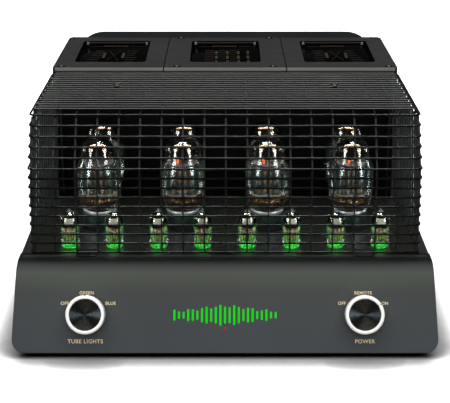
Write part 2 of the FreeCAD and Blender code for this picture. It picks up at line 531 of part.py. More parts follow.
# ---------------------------------------------------------------- rear panel
RY0, RY1 = yy(D_BACK + 1.0), yy(D_BACK + 1.0 + REAR_T)
lowp = box(-HALF_BODY, HALF_BODY, RY0, RY1, 7.0, Z_DECK + 1.0)
up = Part.makePolygon([V(-HUMP_HALF, RY0, Z_DECK), V(HUMP_HALF, RY0, Z_DECK), V(HUMP_HALF - 5.5, RY0, HUMP_TOP), V(-HUMP_HALF + 5.5, RY0, HUMP_TOP), V(-HUMP_HALF, RY0, Z_DECK)])
up = Part.Face(up).extrude(V(0, REAR_T, 0))
ue = [e for e in up.Edges if e.BoundBox.ZMin > HUMP_TOP - 0.01 and e.BoundBox.YLength > REAR_T - 0.1 and e.BoundBox.XLength < 0.1]
up = up.makeFillet(HUMP_R, ue)
mid = box(-194.4, 194.4, RY0, RY1, Z_DECK, Z_COVER - 14.0)
me = [e for e in mid.Edges if e.BoundBox.ZMin > Z_COVER - 14.1 and e.BoundBox.YLength > REAR_T - 0.1 and e.BoundBox.XLength < 0.1]
rear = lowp.fuse([mid.makeFillet(8.0, me), up]).removeSplitter()
IEC = (-182.0, 50.0)
FUSE = (-140.0, 62.0)
TRIG = ((-148.0, 28.0), (-128.0, 28.0))
XLR = ((152.0, 64.0), (187.0, 64.0))
RCA = ((152.0, 27.0), (187.0, 27.0))
SWT = (123.0, 28.0)
rc = [cyly(x, POST_Z, RY0 - 5, RY1 + 5, 5.0) for x in POST_X]
rc.append(box(IEC[0] - 14.2, IEC[0] + 14.2, RY0 - 5, RY1 + 5, IEC[1] - 10.2, IEC[1] + 10.2))
rc.append(cyly(FUSE[0], FUSE[1], RY0 - 5, RY1 + 5, 6.6))
rc += [cyly(x, z, RY0 - 5, RY1 + 5, 3.2) for x, z in TRIG]
rc += [cyly(x, z, RY0 - 5, RY1 + 5, 11.6) for x, z in XLR]
rc += [box(x - 3.4, x + 3.4, RY0 - 5, RY1 + 5, z + 8.0, z + 12.5) for x, z in XLR]
rc += [cyly(x, z, RY0 - 5, RY1 + 5, 4.6) for x, z in RCA]
rc.append(box(SWT[0] - 8.2, SWT[0] + 8.2, RY0 - 5, RY1 + 5, SWT[1] - 4.2, SWT[1] + 4.2))
for i in range(21):
    rc.append(box(-140 + i * 14, -135 + i * 14, RY0 - 5, RY1 + 5, 120, 200))
save("rear_panel", rear.cut(Part.makeCompound(rc)))

# binding posts: studs with 4 mm plug bores, insulating washers, screwed caps
stud, wash, capn = [], [], []
for i, x in enumerate(POST_X):
    s = cyly(x, POST_Z, RY0 - 14, RY1 + POST_L, 4.0).cut(cyly(x, POST_Z, RY1 + POST_L - 20, RY1 + POST_L + 1, 2.05))
    stud.append(s)
    w = tubey(x, POST_Z, RY1 + 0.02, RY1 + 5.0, 9.0, 4.02).fuse(tubey(x, POST_Z, RY0, RY1 + 0.1, 4.9, 4.02))
    w2 = tubey(x, POST_Z, RY0 - 3.0, RY0 - 0.02, 8.0, 4.02)
    wash += [w, w2]
    hx = Part.makePolygon([V(x + 9.2 * math.cos(math.radians(60 * k)), RY1 + 8.0, POST_Z + 9.2 * math.sin(math.radians(60 * k))) for k in range(7)])
    hexa = Part.Face(hx).extrude(V(0, 24.0, 0)).common(cyly(x, POST_Z, RY1 + 8.0, RY1 + 32.0, 8.9))
    hexa = hexa.cut(cyly(x, POST_Z, RY1 + 7, RY1 + 40, 4.08))
    save("binding_post_cap_%d" % (i + 1), hexa)
save("binding_post_studs", *stud)
save("binding_post_washers", *wash)

# mains inlet with recessed pins
iec = box(IEC[0] - 24.0, IEC[0] + 24.0, RY1 + 0.02, RY1 + 3.0, IEC[1] - 11.5, IEC[1] + 11.5).fuse(
    box(IEC[0] - 14.0, IEC[0] + 14.0, RY0 - 16, RY1 + 0.1, IEC[1] - 10.0, IEC[1] + 10.0))
iec = iec.cut(box(IEC[0] - 12.2, IEC[0] + 12.2, RY1 - 15, RY1 + 5, IEC[1] - 8.2, IEC[1] + 8.2))
save("mains_inlet", iec, *[box(IEC[0] + dx - 1.0, IEC[0] + dx + 1.0, RY1 - 14.95, RY1 - 5.0, IEC[1] + dz - 2.0, IEC[1] + dz + 2.0)
                           for dx, dz in ((-7, -2), (0, 3), (7, -2))])
# fuse holder and its bayonet cap
fh = tubey(FUSE[0], FUSE[1], RY1 + 0.02, RY1 + 3.0, 9.0, 6.0).fuse(tubey(FUSE[0], FUSE[1], RY0 - 24, RY1 + 0.1, 6.4, 5.2))
save("fuse_holder", fh)
fc = cyly(FUSE[0], FUSE[1], RY1 + 3.1, RY1 + 12.0, 7.6).fuse(cyly(FUSE[0], FUSE[1], RY1 - 12.0, RY1 + 3.2, 4.9))
fc = fc.cut(box(FUSE[0] - 4.5, FUSE[0] + 4.5, RY1 + 10.5, RY1 + 13, FUSE[1] - 0.7, FUSE[1] + 0.7))
save("fuse_cap", fc)
# control jacks, 3.5 mm
tj = []
for x, z in TRIG:
    j = tubey(x, z, RY0 - 12, RY1 + 0.1, 3.05, 1.8).fuse(tubey(x, z, RY1 + 0.02, RY1 + 2.6, 4.4, 1.8))
    tj.append(j)
save("control_jacks", *tj)
# balanced input sockets
xs_ = []
for x, z in XLR:
    fl = box(x - 13.0, x + 13.0, RY1 + 0.02, RY1 + 2.0, z - 15.5, z + 13.0).fuse(cyly(x, z, RY0 - 16, RY1 + 0.1, 11.4))
    fl = fl.cut(cyly(x, z, RY1 - 13.0, RY1 + 5, 9.7))
    fl = fl.fuse(cyly(x, z, RY1 - 13.2, RY1 + 1.0, 7.4))
    fl = fl.cut(Part.makeCompound([cyly(x + 3.7 * math.cos(math.radians(a)), z + 3.7 * math.sin(math.radians(a)), RY1 - 12, RY1 + 3, 1.35) for a in (0, 180, 270)]))
    fl = fl.cut(box(x - 3.4, x + 3.4, RY1 - 8, RY1 + 5, z + 9.0, z + 12.4))
    xs_.append(fl)
save("balanced_input_sockets", *xs_)
for i, (x, z) in enumerate(XLR):
    save("balanced_latch_%d" % (i + 1), box(x - 3.0, x + 3.0, RY1 - 4.0, RY1 + 4.6, z + 9.9, z + 12.0))
# phono input sockets
rj = []
for x, z in RCA:
    j = tubey(x, z, RY1 + 0.02, RY1 + 2.4, 7.0, 2.0).fuse(tubey(x, z, RY0 - 8, RY1 + 10.5, 4.15, 1.7))
    rj.append(j)
save("phono_input_sockets", *rj)
# input selector switch
sb = box(SWT[0] - 12.0, SWT[0] + 12.0, RY0 - 10, RY0 - 0.05, SWT[1] - 6.0, SWT[1] + 6.0)
sb = sb.cut(box(SWT[0] - 7.0, SWT[0] + 7.0, RY0 - 4.0, RY0 + 1, SWT[1] - 3.2, SWT[1] + 3.2))
save("input_switch_body", sb)
save("input_switch_lever", box(SWT[0] - 6.5, SWT[0] - 0.5, RY0 - 3.8, RY1 + 3.5, SWT[1] - 2.8, SWT[1] + 2.8))

c = Part.makeCompound(ALL)
b = c.BoundBox
print("nodes", len(ALL), "bbox X %.2f..%.2f Y %.2f..%.2f Z %.2f..%.2f" % (b.XMin, b.XMax, b.YMin, b.YMax, b.ZMin, b.ZMax))
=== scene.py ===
import bpy, bmesh, math, json
from mathutils import Vector, Matrix

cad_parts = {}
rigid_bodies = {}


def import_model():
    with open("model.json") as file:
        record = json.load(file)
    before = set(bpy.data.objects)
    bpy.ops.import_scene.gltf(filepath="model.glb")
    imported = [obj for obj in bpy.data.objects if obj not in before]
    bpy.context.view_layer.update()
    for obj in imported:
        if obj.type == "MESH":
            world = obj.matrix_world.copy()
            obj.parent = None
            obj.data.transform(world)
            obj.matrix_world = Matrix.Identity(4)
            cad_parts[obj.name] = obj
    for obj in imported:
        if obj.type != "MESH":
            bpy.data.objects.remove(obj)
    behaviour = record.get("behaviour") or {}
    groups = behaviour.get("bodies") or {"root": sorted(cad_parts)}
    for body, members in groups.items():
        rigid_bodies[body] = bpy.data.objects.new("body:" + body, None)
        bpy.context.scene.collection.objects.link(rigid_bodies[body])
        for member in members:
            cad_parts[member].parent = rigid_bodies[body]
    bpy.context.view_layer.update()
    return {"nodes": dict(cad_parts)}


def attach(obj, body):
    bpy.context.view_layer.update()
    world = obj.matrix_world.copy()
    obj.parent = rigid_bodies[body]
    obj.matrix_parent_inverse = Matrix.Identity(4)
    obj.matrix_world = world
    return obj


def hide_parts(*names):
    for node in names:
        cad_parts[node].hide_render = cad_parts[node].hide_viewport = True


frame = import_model()

# ------------------------------------------------------------------ shared sizes, mm
Y0 = -216.16
LEAN = 22.62
S = math.sin(math.radians(LEAN))
C = math.cos(math.radians(LEAN))
Z_DECK = 93.0
KNOB_X, KNOB_Z, KNOB_R, KNOB_L, KNOB_STEP = 144.5, 43.65, 20.3, 18.0, 57.0
BIG_X = (-140.0, -47.0, 47.0, 140.0)
BIG_D, REAR_D, BIG_R = 143.5, 212.5, 24.8
SMALL_X = (-166.9, -119.2, -71.6, -23.9, 23.9, 71.6, 119.2, 166.9)
SMALL_D, SMALL_R = 82.0, 10.65


def yy(d):
    return d + Y0


def plane_d(z):
    return 2.9 + (z - 22.0) * S / C


# ------------------------------------------------------------------ camera, as in the photograph
cam_data = bpy.data.cameras.new("camera")
cam_data.sensor_fit = "HORIZONTAL"
cam_data.sensor_width = 36.0
cam_data.lens = 1316.6 * 36.0 / 450.0
cam_data.clip_start = 0.05
cam_data.clip_end = 50.0
cam = bpy.data.objects.new("camera", cam_data)
bpy.context.scene.collection.objects.link(cam)
cam.location = (0.0, (Y0 - 1245.9) / 1000.0, 0.6082)
cam.rotation_euler = (math.radians(90.0 - 19.27), 0.0, 0.0)
bpy.context.scene.camera = cam


# ------------------------------------------------------------------ materials
class Mat:
    def __init__(self, name):
        self.m = bpy.data.materials.new(name)
        self.m.use_nodes = True
        self.nt = self.m.node_tree
        self.nt.nodes.clear()
        self.out = self.n("ShaderNodeOutputMaterial")
        self.b = self.n("ShaderNodeBsdfPrincipled")
        self.l(self.b.outputs[0], self.out.inputs["Surface"])
        self.tc = self.n("ShaderNodeTexCoord")

    def n(self, kind, **kw):
        x = self.nt.nodes.new(kind)
        for k, v in kw.items():
            setattr(x, k, v)
        return x

    def l(self, a, b):
        self.nt.links.new(a, b)

    def set(self, **kw):
        for k, v in kw.items():
            self.b.inputs[k.replace("_", " ")].default_value = v
        return self

    def mapping(self, scale=(1, 1, 1), rot=(0, 0, 0)):
        mp = self.n("ShaderNodeMapping")
        mp.inputs["Scale"].default_value = scale
        mp.inputs["Rotation"].default_value = rot
        self.l(self.tc.outputs["Object"], mp.inputs["Vector"])
        return mp.outputs[0]

    def noise(self, scale, detail=3.0, rough=0.55, vec=None, distortion=0.0):
        t = self.n("ShaderNodeTexNoise")
        t.inputs["Scale"].default_value = scale
        t.inputs["Detail"].default_value = detail
        t.inputs["Roughness"].default_value = rough
        t.inputs["Distortion"].default_value = distortion
        self.l(vec if vec is not None else self.tc.outputs["Object"], t.inputs["Vector"])
        return t.outputs["Fac"]

    def ramp(self, fac, stops):
        r = self.n("ShaderNodeValToRGB")
        e = r.color_ramp.elements
        while len(e) < len(stops):
            e.new(0.5)
        for i, (p, c) in enumerate(stops):
            e[i].position = p
            e[i].color = (c[0], c[1], c[2], 1.0) if not isinstance(c, (int, float)) else (c, c, c, 1.0)
        self.l(fac, r.inputs["Fac"])
        return r.outputs["Color"]

    def rng(self, fac, a, b, lo=0.0, hi=1.0):
        r = self.n("ShaderNodeMapRange")
        r.inputs["From Min"].default_value = lo
        r.inputs["From Max"].default_value = hi
        r.inputs["To Min"].default_value = a
        r.inputs["To Max"].default_value = b
        self.l(fac, r.inputs["Value"])
        return r.outputs["Result"]

    def bump(self, height, strength, dist=0.0002):
        b = self.n("ShaderNodeBump")
        b.inputs["Strength"].default_value = strength
        b.inputs["Distance"].default_value = dist
        self.l(height, b.inputs["Height"])
        self.l(b.outputs["Normal"], self.b.inputs["Normal"])
        return b

    def color(self, sock):
        self.l(sock, self.b.inputs["Base Color"])

    def rough(self, sock):
        self.l(sock, self.b.inputs["Roughness"])


def paint(name, dark, light, rough=(0.34, 0.46), grain=1400.0, bump=0.12, coat=0.0, spec=0.5, metallic=0.0):
    m = Mat(name)
    big = m.noise(9.0, 4.0)
    m.color(m.ramp(big, [(0.3, dark), (0.72, light)]))
    m.rough(m.rng(m.noise(60.0, 5.0), rough[0], rough[1], 0.3, 0.7))
    m.bump(m.noise(grain, 2.0, 0.6), bump, 0.00015)
    m.set(Metallic=metallic, Coat_Weight=coat, Coat_Roughness=0.25, Specular_IOR_Level=spec)
    return m.m


M = {}
def fascia_painted_light_mat():
    m = Mat("fascia_painted_highlight_and_shade")
    sep = m.n("ShaderNodeSeparateXYZ")
    m.l(m.tc.outputs["Object"], sep.inputs[0])
    f = m.rng(sep.outputs["Z"], 0.0, 1.0, 0.0, 0.1)
    # base colour by height: the lighter band at 74 to 83 mm is a painted highlight, and the darkening from 86 mm up
    # over the top bend and the flange under the cage is painted shade
    base = m.ramp(f, [(0.060, (0.0525, 0.0593, 0.0645)),
                      (0.500, (0.0533, 0.0590, 0.0599)),
                      (0.660, (0.0543, 0.0591, 0.0575)),
                      (0.740, (0.0656, 0.0721, 0.0624)),
                      (0.825, (0.0714, 0.0798, 0.0680)),
                      (0.860, (0.0528, 0.0584, 0.0520)),
                      (0.895, (0.0341, 0.0377, 0.0355)),
                      (0.915, (0.0181, 0.0206, 0.0194)),
                      (0.929, (0.0060, 0.0068, 0.0064))])
    mul = m.n("ShaderNodeMix", data_type="RGBA", blend_type="MULTIPLY")
    mul.inputs[0].default_value = 1.0
    m.l(base, mul.inputs[6])
    m.l(m.ramp(m.noise(9.0, 4.0), [(0.3, 0.95), (0.72, 1.04)]), mul.inputs[7])
    m.color(mul.outputs[2])
    m.rough(m.rng(m.noise(60.0, 5.0), 0.42, 0.5, 0.3, 0.7))
    m.bump(m.noise(1800.0, 2.0, 0.6), 0.05, 0.00015)
    m.set(Specular_IOR_Level=0.35)
    return m.m


M["fascia"] = fascia_painted_light_mat()
M["deck"] = paint("deck_satin", (0.017, 0.0185, 0.0155), (0.022, 0.0235, 0.0195), (0.36, 0.46), 900.0, 0.05)
M["chassis"] = paint("chassis_satin", (0.008, 0.0083, 0.0083), (0.012, 0.0123, 0.0123), (0.45, 0.55), 1500.0, 0.12, spec=0.3)
M["cover"] = paint("cover_texture", (0.0155, 0.0155, 0.0155), (0.0198, 0.0198, 0.0198), (0.42, 0.55), 700.0, 0.35)
# light grey paint for painted highlights: the lit front band of the covers, the ends of the window bars and the heads
# of the cover screws
M["edge"] = paint("edge_satin", (0.125, 0.125, 0.115), (0.15, 0.15, 0.138), (0.3, 0.4), 1200.0, 0.1)
# lighter copy of the deck paint for a thin strip along the deck's front edge: a painted highlight
M["deck_edge"] = paint("deck_edge_painted_highlight", (0.026, 0.028, 0.024), (0.032, 0.034, 0.03), (0.35, 0.45), 900.0, 0.05)
M["cage"] = paint("cage_satin", (0.007, 0.008, 0.0074), (0.009, 0.01, 0.0092), (0.13, 0.17), 900.0, 0.0)
# lighter copy of the cage paint for the uprights: a painted highlight
M["cage_upright"] = paint("cage_upright_painted_highlight", (0.075, 0.083, 0.078), (0.092, 0.1, 0.095), (0.25, 0.35), 900.0, 0.02)
# lighter copy of the cage paint for the upper faces of the top cross wires: a painted highlight on their lit top side
M["cage_rubbed"] = paint("cage_rubbed_satin", (0.18, 0.186, 0.178), (0.21, 0.216, 0.207), (0.45, 0.55), 900.0, 0.02, spec=0.0)
# darker copy of the chassis paint for the housing front behind the cage: painted shade
M["wall"] = paint("housing_front_painted_shade", (0.0035, 0.0036, 0.0035), (0.005, 0.0051, 0.005), (0.5, 0.6), 1500.0, 0.1, spec=0.25)
M["black_metal"] = paint("black_screw", (0.02, 0.02, 0.021), (0.035, 0.035, 0.036), (0.25, 0.4), 1200.0, 0.1, metallic=0.6)
M["screw_dark"] = paint("captive_screw", (0.02, 0.022, 0.021), (0.032, 0.035, 0.033), (0.2, 0.3), 900.0, 0.03)
M["board"] = paint("circuit_board", (0.01, 0.06, 0.025), (0.02, 0.1, 0.04), (0.3, 0.45), 500.0, 0.1)
M["plastic"] = paint("black_plastic", (0.02, 0.02, 0.021), (0.032, 0.032, 0.034), (0.35, 0.55), 1000.0, 0.18)
M["rubber"] = paint("foot_rubber", (0.018, 0.018, 0.018), (0.03, 0.03, 0.03), (0.7, 0.85), 500.0, 0.5)
M["can"] = paint("capacitor_sleeve", (0.02, 0.028, 0.06), (0.03, 0.04, 0.085), (0.25, 0.35), 400.0, 0.05)
M["ceramic"] = paint("ceramic", (0.55, 0.52, 0.45), (0.7, 0.67, 0.6), (0.2, 0.35), 300.0, 0.05)
M["core"] = paint("laminations", (0.05, 0.05, 0.052), (0.09, 0.09, 0.092), (0.35, 0.55), 600.0, 0.2, metallic=0.7)
M["coil"] = paint("coil_paper", (0.2, 0.12, 0.05), (0.32, 0.19, 0.08), (0.45, 0.6), 300.0, 0.2)
M["mica"] = paint("mica", (0.3, 0.2, 0.17), (0.7, 0.58, 0.52), (0.2, 0.36), 500.0, 0.25)


def metal(name, lo, hi, rough=(0.08, 0.18), aniso=0.0, scale=120.0, bump=0.03):
    m = Mat(name)
    m.color(m.ramp(m.noise(scale, 3.0), [(0.3, lo), (0.7, hi)]))
    m.rough(m.rng(m.noise(scale * 2.0, 4.0), rough[0], rough[1], 0.3, 0.7))
    m.bump(m.noise(scale * 12, 2.0), bump, 0.0001)
    m.set(Metallic=1.0, Anisotropic=aniso)
    return m.m


# near-white paint for the rings of the knobs: their brightness is a painted reflection of the studio lights
M["chrome"] = paint("polished_ring", (0.9, 0.885, 0.85), (0.97, 0.955, 0.93), (0.2, 0.26), 60.0, 0.0, metallic=0.22)
M["steel"] = metal("plated_steel", (0.45, 0.46, 0.47), (0.65, 0.66, 0.67), (0.18, 0.34))
M["dots"] = paint("copper_bits", (0.3, 0.1, 0.03), (0.75, 0.42, 0.16), (0.25, 0.4), 700.0, 0.2, metallic=0.2)
M["anode"] = metal("anode_grey", (0.07, 0.08, 0.08), (0.15, 0.165, 0.165), (0.3, 0.48), 0.0, 220.0, 0.15)
M["gold"] = metal("gold_plate", (0.72, 0.48, 0.16), (0.88, 0.62, 0.26), (0.15, 0.28))
M["collar"] = metal("collar_blue_grey", (0.12, 0.15, 0.165), (0.17, 0.205, 0.22), (0.26, 0.34), 0.0, 90.0, 0.03)
M["ring"] = paint("base_ring", (0.42, 0.46, 0.49), (0.55, 0.59, 0.62), (0.2, 0.3), 300.0, 0.02, metallic=0.35)


def glass_mat(name, tint=(0.95, 0.98, 0.97), rough=0.02):
    # thin envelope: mostly clear, reflecting more at grazing angles
    m = Mat(name)
    nt = m.nt
    tr = m.n("ShaderNodeBsdfTransparent")
    tr.inputs["Color"].default_value = (tint[0], tint[1], tint[2], 1)
    gl = m.n("ShaderNodeBsdfGlossy")
    gl.inputs["Roughness"].default_value = rough
    gl.inputs["Color"].default_value = (1, 1, 1, 1)
    fr = m.n("ShaderNodeFresnel")
    fr.inputs["IOR"].default_value = 1.46
    lim = m.n("ShaderNodeMath", operation="MINIMUM")
    lim.inputs[1].default_value = 0.34
    m.l(fr.outputs[0], lim.inputs[0])
    fac = lim.outputs[0]
    wob = m.n("ShaderNodeBump")
    wob.inputs["Strength"].default_value = 0.06
    wob.inputs["Distance"].default_value = 0.0006
    m.l(m.noise(70.0, 1.0), wob.inputs["Height"])
    m.l(wob.outputs["Normal"], gl.inputs["Normal"])
    mx = m.n("ShaderNodeMixShader")
    m.l(fac, mx.inputs["Fac"])
    m.l(tr.outputs[0], mx.inputs[1])
    m.l(gl.outputs[0], mx.inputs[2])
    m.l(mx.outputs[0], m.out.inputs["Surface"])
    nt.nodes.remove(m.b)
    return m.m


M["glass"] = glass_mat("envelope_glass")


# cream paint for the patch inside the front of the small valves' domes: a painted highlight
M["getter"] = paint("dome_painted_highlight_cream", (0.34, 0.27, 0.18), (0.86, 0.8, 0.66), (0.22, 0.4), 420.0, 0.3)
M["tip"] = paint("sealed_tip", (0.06, 0.09, 0.075), (0.13, 0.17, 0.15), (0.3, 0.4), 600.0, 0.1)


def film_mat():
    # getter film inside the glass: dark brown mirror that thins out to brown at its rim
    m = Mat("getter_film")
    m.color(m.ramp(m.noise(160.0, 3.0, 0.6), [(0.3, (0.06, 0.037, 0.023)), (0.7, (0.12, 0.09, 0.066))]))
    m.rough(m.rng(m.noise(150.0, 3.0), 0.05, 0.13, 0.3, 0.7))
    m.bump(m.noise(110.0, 2.0), 0.14, 0.0006)
    m.set(Metallic=1.0)
    return m.m


M["film"] = film_mat()
M["rust"] = paint("copper_brown", (0.07, 0.022, 0.01), (0.2, 0.07, 0.028), (0.2, 0.4), 500.0, 0.2, metallic=0.6)
M["tan"] = paint("tan_insulator", (0.5, 0.25, 0.1), (0.95, 0.8, 0.6), (0.2, 0.34), 600.0, 0.2, metallic=0.25)


def emit_mat(name, col, strength, base=(0.02, 0.05, 0.02), low=0.9):
    m = Mat(name)
    n = m.noise(400.0, 2.0)
    m.color(m.ramp(n, [(0.3, base), (0.7, tuple(min(1, c * 1.3) for c in base))]))
    m.l(m.ramp(n, [(0.2 if low > 0.5 else 0.42, tuple(c * low for c in col)), (0.8 if low > 0.5 else 0.56, col)]), m.b.inputs["Emission Color"])
    m.set(Emission_Strength=strength, Roughness=0.3)
    return m.m


M["logo_green"] = emit_mat("lit_green", (0.0, 0.79, 0.001), 1.0, (0.001, 0.004, 0.001))
M["lamp_green"] = emit_mat("valve_lamp_green", (0.05, 0.95, 0.06), 0.9, (0.02, 0.05, 0.02), 0.1)
M["lamp_red"] = emit_mat("standby_red", (0.42, 0.0, 0.008), 1.0, (0.1, 0.0, 0.0))
M["heater"] = emit_mat("heater_glow", (1.0, 0.13, 0.03), 1.5, (0.2, 0.05, 0.01))
M["gold_print"] = paint("gold_lettering", (0.72, 0.57, 0.33), (0.85, 0.68, 0.41), (0.4, 0.5), 800.0, 0.05)
M["print_red"] = paint("print_line_red", (0.032, 0.0135, 0.008), (0.046, 0.019, 0.011), (0.4, 0.5), 800.0, 0.05)
M["print_gold"] = paint("print_line_gold", (0.028, 0.023, 0.012), (0.038, 0.031, 0.017), (0.4, 0.5), 800.0, 0.05)


def black_glass():
    m = Mat("black_glass")
    m.color(m.ramp(m.noise(20.0, 2.0), [(0.3, (0.0006, 0.0006, 0.0006)), (0.7, (0.0012, 0.0012, 0.0012))]))
    m.rough(m.rng(m.noise(80.0, 3.0), 0.04, 0.09, 0.3, 0.7))
    m.set(Specular_IOR_Level=0.3, IOR=1.06)
    return m.m


M["black_glass"] = black_glass()


def spun():
    m = Mat("spun_black")
    m.color(m.ramp(m.noise(500.0, 2.0), [(0.3, (0.085, 0.09, 0.09)), (0.7, (0.12, 0.126, 0.126))]))
    tg = m.n("ShaderNodeTangent", direction_type="UV_MAP", uv_map="spin")
    m.l(tg.outputs[0], m.b.inputs["Tangent"])
    m.rough(m.rng(m.noise(300.0, 3.0), 0.24, 0.3, 0.3, 0.7))
    m.set(Metallic=1.0, Anisotropic=0.9)
    m.b.inputs["Anisotropic Rotation"].default_value = 0.25
    return m.m


M["spun"] = spun()


# ------------------------------------------------------------------ mesh builders (mm in, metres out)
class MB:
    def __init__(self):
        self.v, self.f, self.mi = [], [], []

    def add(self, verts, faces, mi=0):
        n = len(self.v)
        self.v += [tuple(p) for p in verts]
        self.f += [tuple(i + n for i in f) for f in faces]
        self.mi += [mi] * len(faces)

    def lathe(self, prof, mat=None, n=48, mi=0, origin=(0, 0, 0), fn=None):
        # prof: (r, z) from bottom to top; r = 0 ends close on the axis
        verts, rings = [], []
        for k, (r, z) in enumerate(prof):
            if r < 1e-6:
                rings.append([len(verts)])
                verts.append((0.0, 0.0, z))
            else:
                ring = []
                for i in range(n):
                    a = 2 * math.pi * i / n
                    rr, zz = (r, z) if fn is None else fn(r, z, a, k)
                    ring.append(len(verts))
                    verts.append((rr * math.cos(a), rr * math.sin(a), zz))
                rings.append(ring)
        faces = []
        for a, b in zip(rings, rings[1:]):
            if len(a) == 1 and len(b) == 1:
                continue
            if len(a) == 1:
                faces += [(a[0], b[(i + 1) % n], b[i]) for i in range(n)]
            elif len(b) == 1:
                faces += [(a[i], a[(i + 1) % n], b[0]) for i in range(n)]
            else:
                faces += [(a[i], a[(i + 1) % n], b[(i + 1) % n], b[i]) for i in range(n)]
        if len(rings[0]) > 1 and len(rings[-1]) > 1:
            faces += [(rings[-1][i], rings[-1][(i + 1) % n], rings[0][(i + 1) % n], rings[0][i]) for i in range(n)]
        o = Vector(origin)
        if mat is None:
            verts = [Vector(p) + o for p in verts]
        else:
            verts = [mat @ (Vector(p)) + o for p in verts]
        self.add(verts, faces, mi)
        return self

    def sweep(self, pts, r, n=8, mi=0, closed=False):
        pts = [Vector(p) for p in pts]
        m = len(pts)
        tan = []
        for i in range(m):
            if closed:
                t = pts[(i + 1) % m] - pts[i - 1]
            elif i == 0:
                t = pts[1] - pts[0]
            elif i == m - 1:
                t = pts[-1] - pts[-2]
            else:
                t = (pts[i + 1] - pts[i]).normalized() + (pts[i] - pts[i - 1]).normalized()
            tan.append(t.normalized())
        ref = Vector((0, 0, 1)) if abs(tan[0].z) < 0.9 else Vector((0, 1, 0))
        u = (ref - tan[0] * ref.dot(tan[0])).normalized()
        verts, faces = [], []
        for i in range(m):
            u = (u - tan[i] * u.dot(tan[i])).normalized()
            w = tan[i].cross(u)
            rr = r if not callable(r) else r(i / (m - 1.0))
            k = 1.0
            if 0 < i < m - 1:
                cosn = (pts[i + 1] - pts[i]).normalized().dot(tan[i])
                k = 1.0 / max(cosn, 0.5)
            for j in range(n):
                a = 2 * math.pi * j / n
                verts.append(pts[i] + (u * math.cos(a) + w * math.sin(a)) * rr * (1 + (k - 1) * 0.5))
        for i in range(m - 1 if not closed else m):
            i2 = (i + 1) % m
            for j in range(n):
                j2 = (j + 1) % n
                faces.append((i * n + j, i * n + j2, i2 * n + j2, i2 * n + j))
        if not closed:
            faces.append(tuple(reversed(range(n))))
            faces.append(tuple((m - 1) * n + j for j in range(n)))
        self.add(verts, faces, mi)
        return self

    def prism(self, poly, z0, z1, mat=None, mi=0, origin=(0, 0, 0), inset=0.0):
        n = len(poly)
        verts = [Vector((x, y, z0)) for x, y in poly] + [Vector((x, y, z1)) for x, y in poly]
        faces = [tuple(reversed(range(n))), tuple(range(n, 2 * n))]
        faces += [(i, (i + 1) % n, n + (i + 1) % n, n + i) for i in range(n)]
        o = Vector(origin)
        verts = [(mat @ p if mat is not None else p) + o for p in verts]
        self.add(verts, faces, mi)
        return self

    def box(self, x0, x1, y0, y1, z0, z1, mi=0, mat=None, origin=(0, 0, 0)):
        return self.prism([(x0, y0), (x1, y0), (x1, y1), (x0, y1)], z0, z1, mat, mi, origin)


def rrect(x0, x1, y0, y1, r, n=6):
    out = []
    for cx, cy, a0 in ((x1 - r, y0 + r, -90), (x1 - r, y1 - r, 0), (x0 + r, y1 - r, 90), (x0 + r, y0 + r, 180)):
        for i in range(n + 1):
            a = math.radians(a0 + 90.0 * i / n)
            out.append((cx + r * math.cos(a), cy + r * math.sin(a)))
    return out


def circle(r, n=32, cx=0.0, cy=0.0):
    return [(cx + r * math.cos(2 * math.pi * i / n), cy + r * math.sin(2 * math.pi * i / n)) for i in range(n)]


def piece(name, mb, mats, body, replaces=(), bevel=0.0, seg=2, smooth=True, angle=35.0, dissolve=False, uv=None):
    me = bpy.data.meshes.new(name)
    me.from_pydata([(x * 0.001, y * 0.001, z * 0.001) for x, y, z in mb.v], [], mb.f)
    mats = mats if isinstance(mats, (list, tuple)) else [mats]
    for m in mats:
        me.materials.append(m)
    for p, i in zip(me.polygons, mb.mi):
        p.material_index = i
    bm = bmesh.new()
    bm.from_mesh(me)
    if dissolve:
        bmesh.ops.remove_doubles(bm, verts=bm.verts, dist=1e-6)
        bmesh.ops.dissolve_limit(bm, angle_limit=math.radians(0.6), verts=bm.verts, edges=bm.edges)
    bmesh.ops.recalc_face_normals(bm, faces=bm.faces)
    if bevel > 0:
        es = [e for e in bm.edges if len(e.link_faces) == 2 and e.calc_face_angle(0.0) > math.radians(40)]
        bmesh.ops.bevel(bm, geom=es, offset=bevel * 0.001, segments=seg, profile=0.5, affect="EDGES", clamp_overlap=True)
    bm.to_mesh(me)
    bm.free()
    if smooth:
        me.polygons.foreach_set("use_smooth", [True] * len(me.polygons))
        me.set_sharp_from_angle(angle=math.radians(angle))
    if uv is not None:
        lay = me.uv_layers.new(name="spin")
        for li, lp in enumerate(me.loops):
            lay.data[li].uv = uv(me.vertices[lp.vertex_index].co)
    ob = bpy.data.objects.new(name, me)
    bpy.context.scene.collection.objects.link(ob)
    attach(ob, body)
    if replaces:
        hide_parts(*replaces)
    return ob


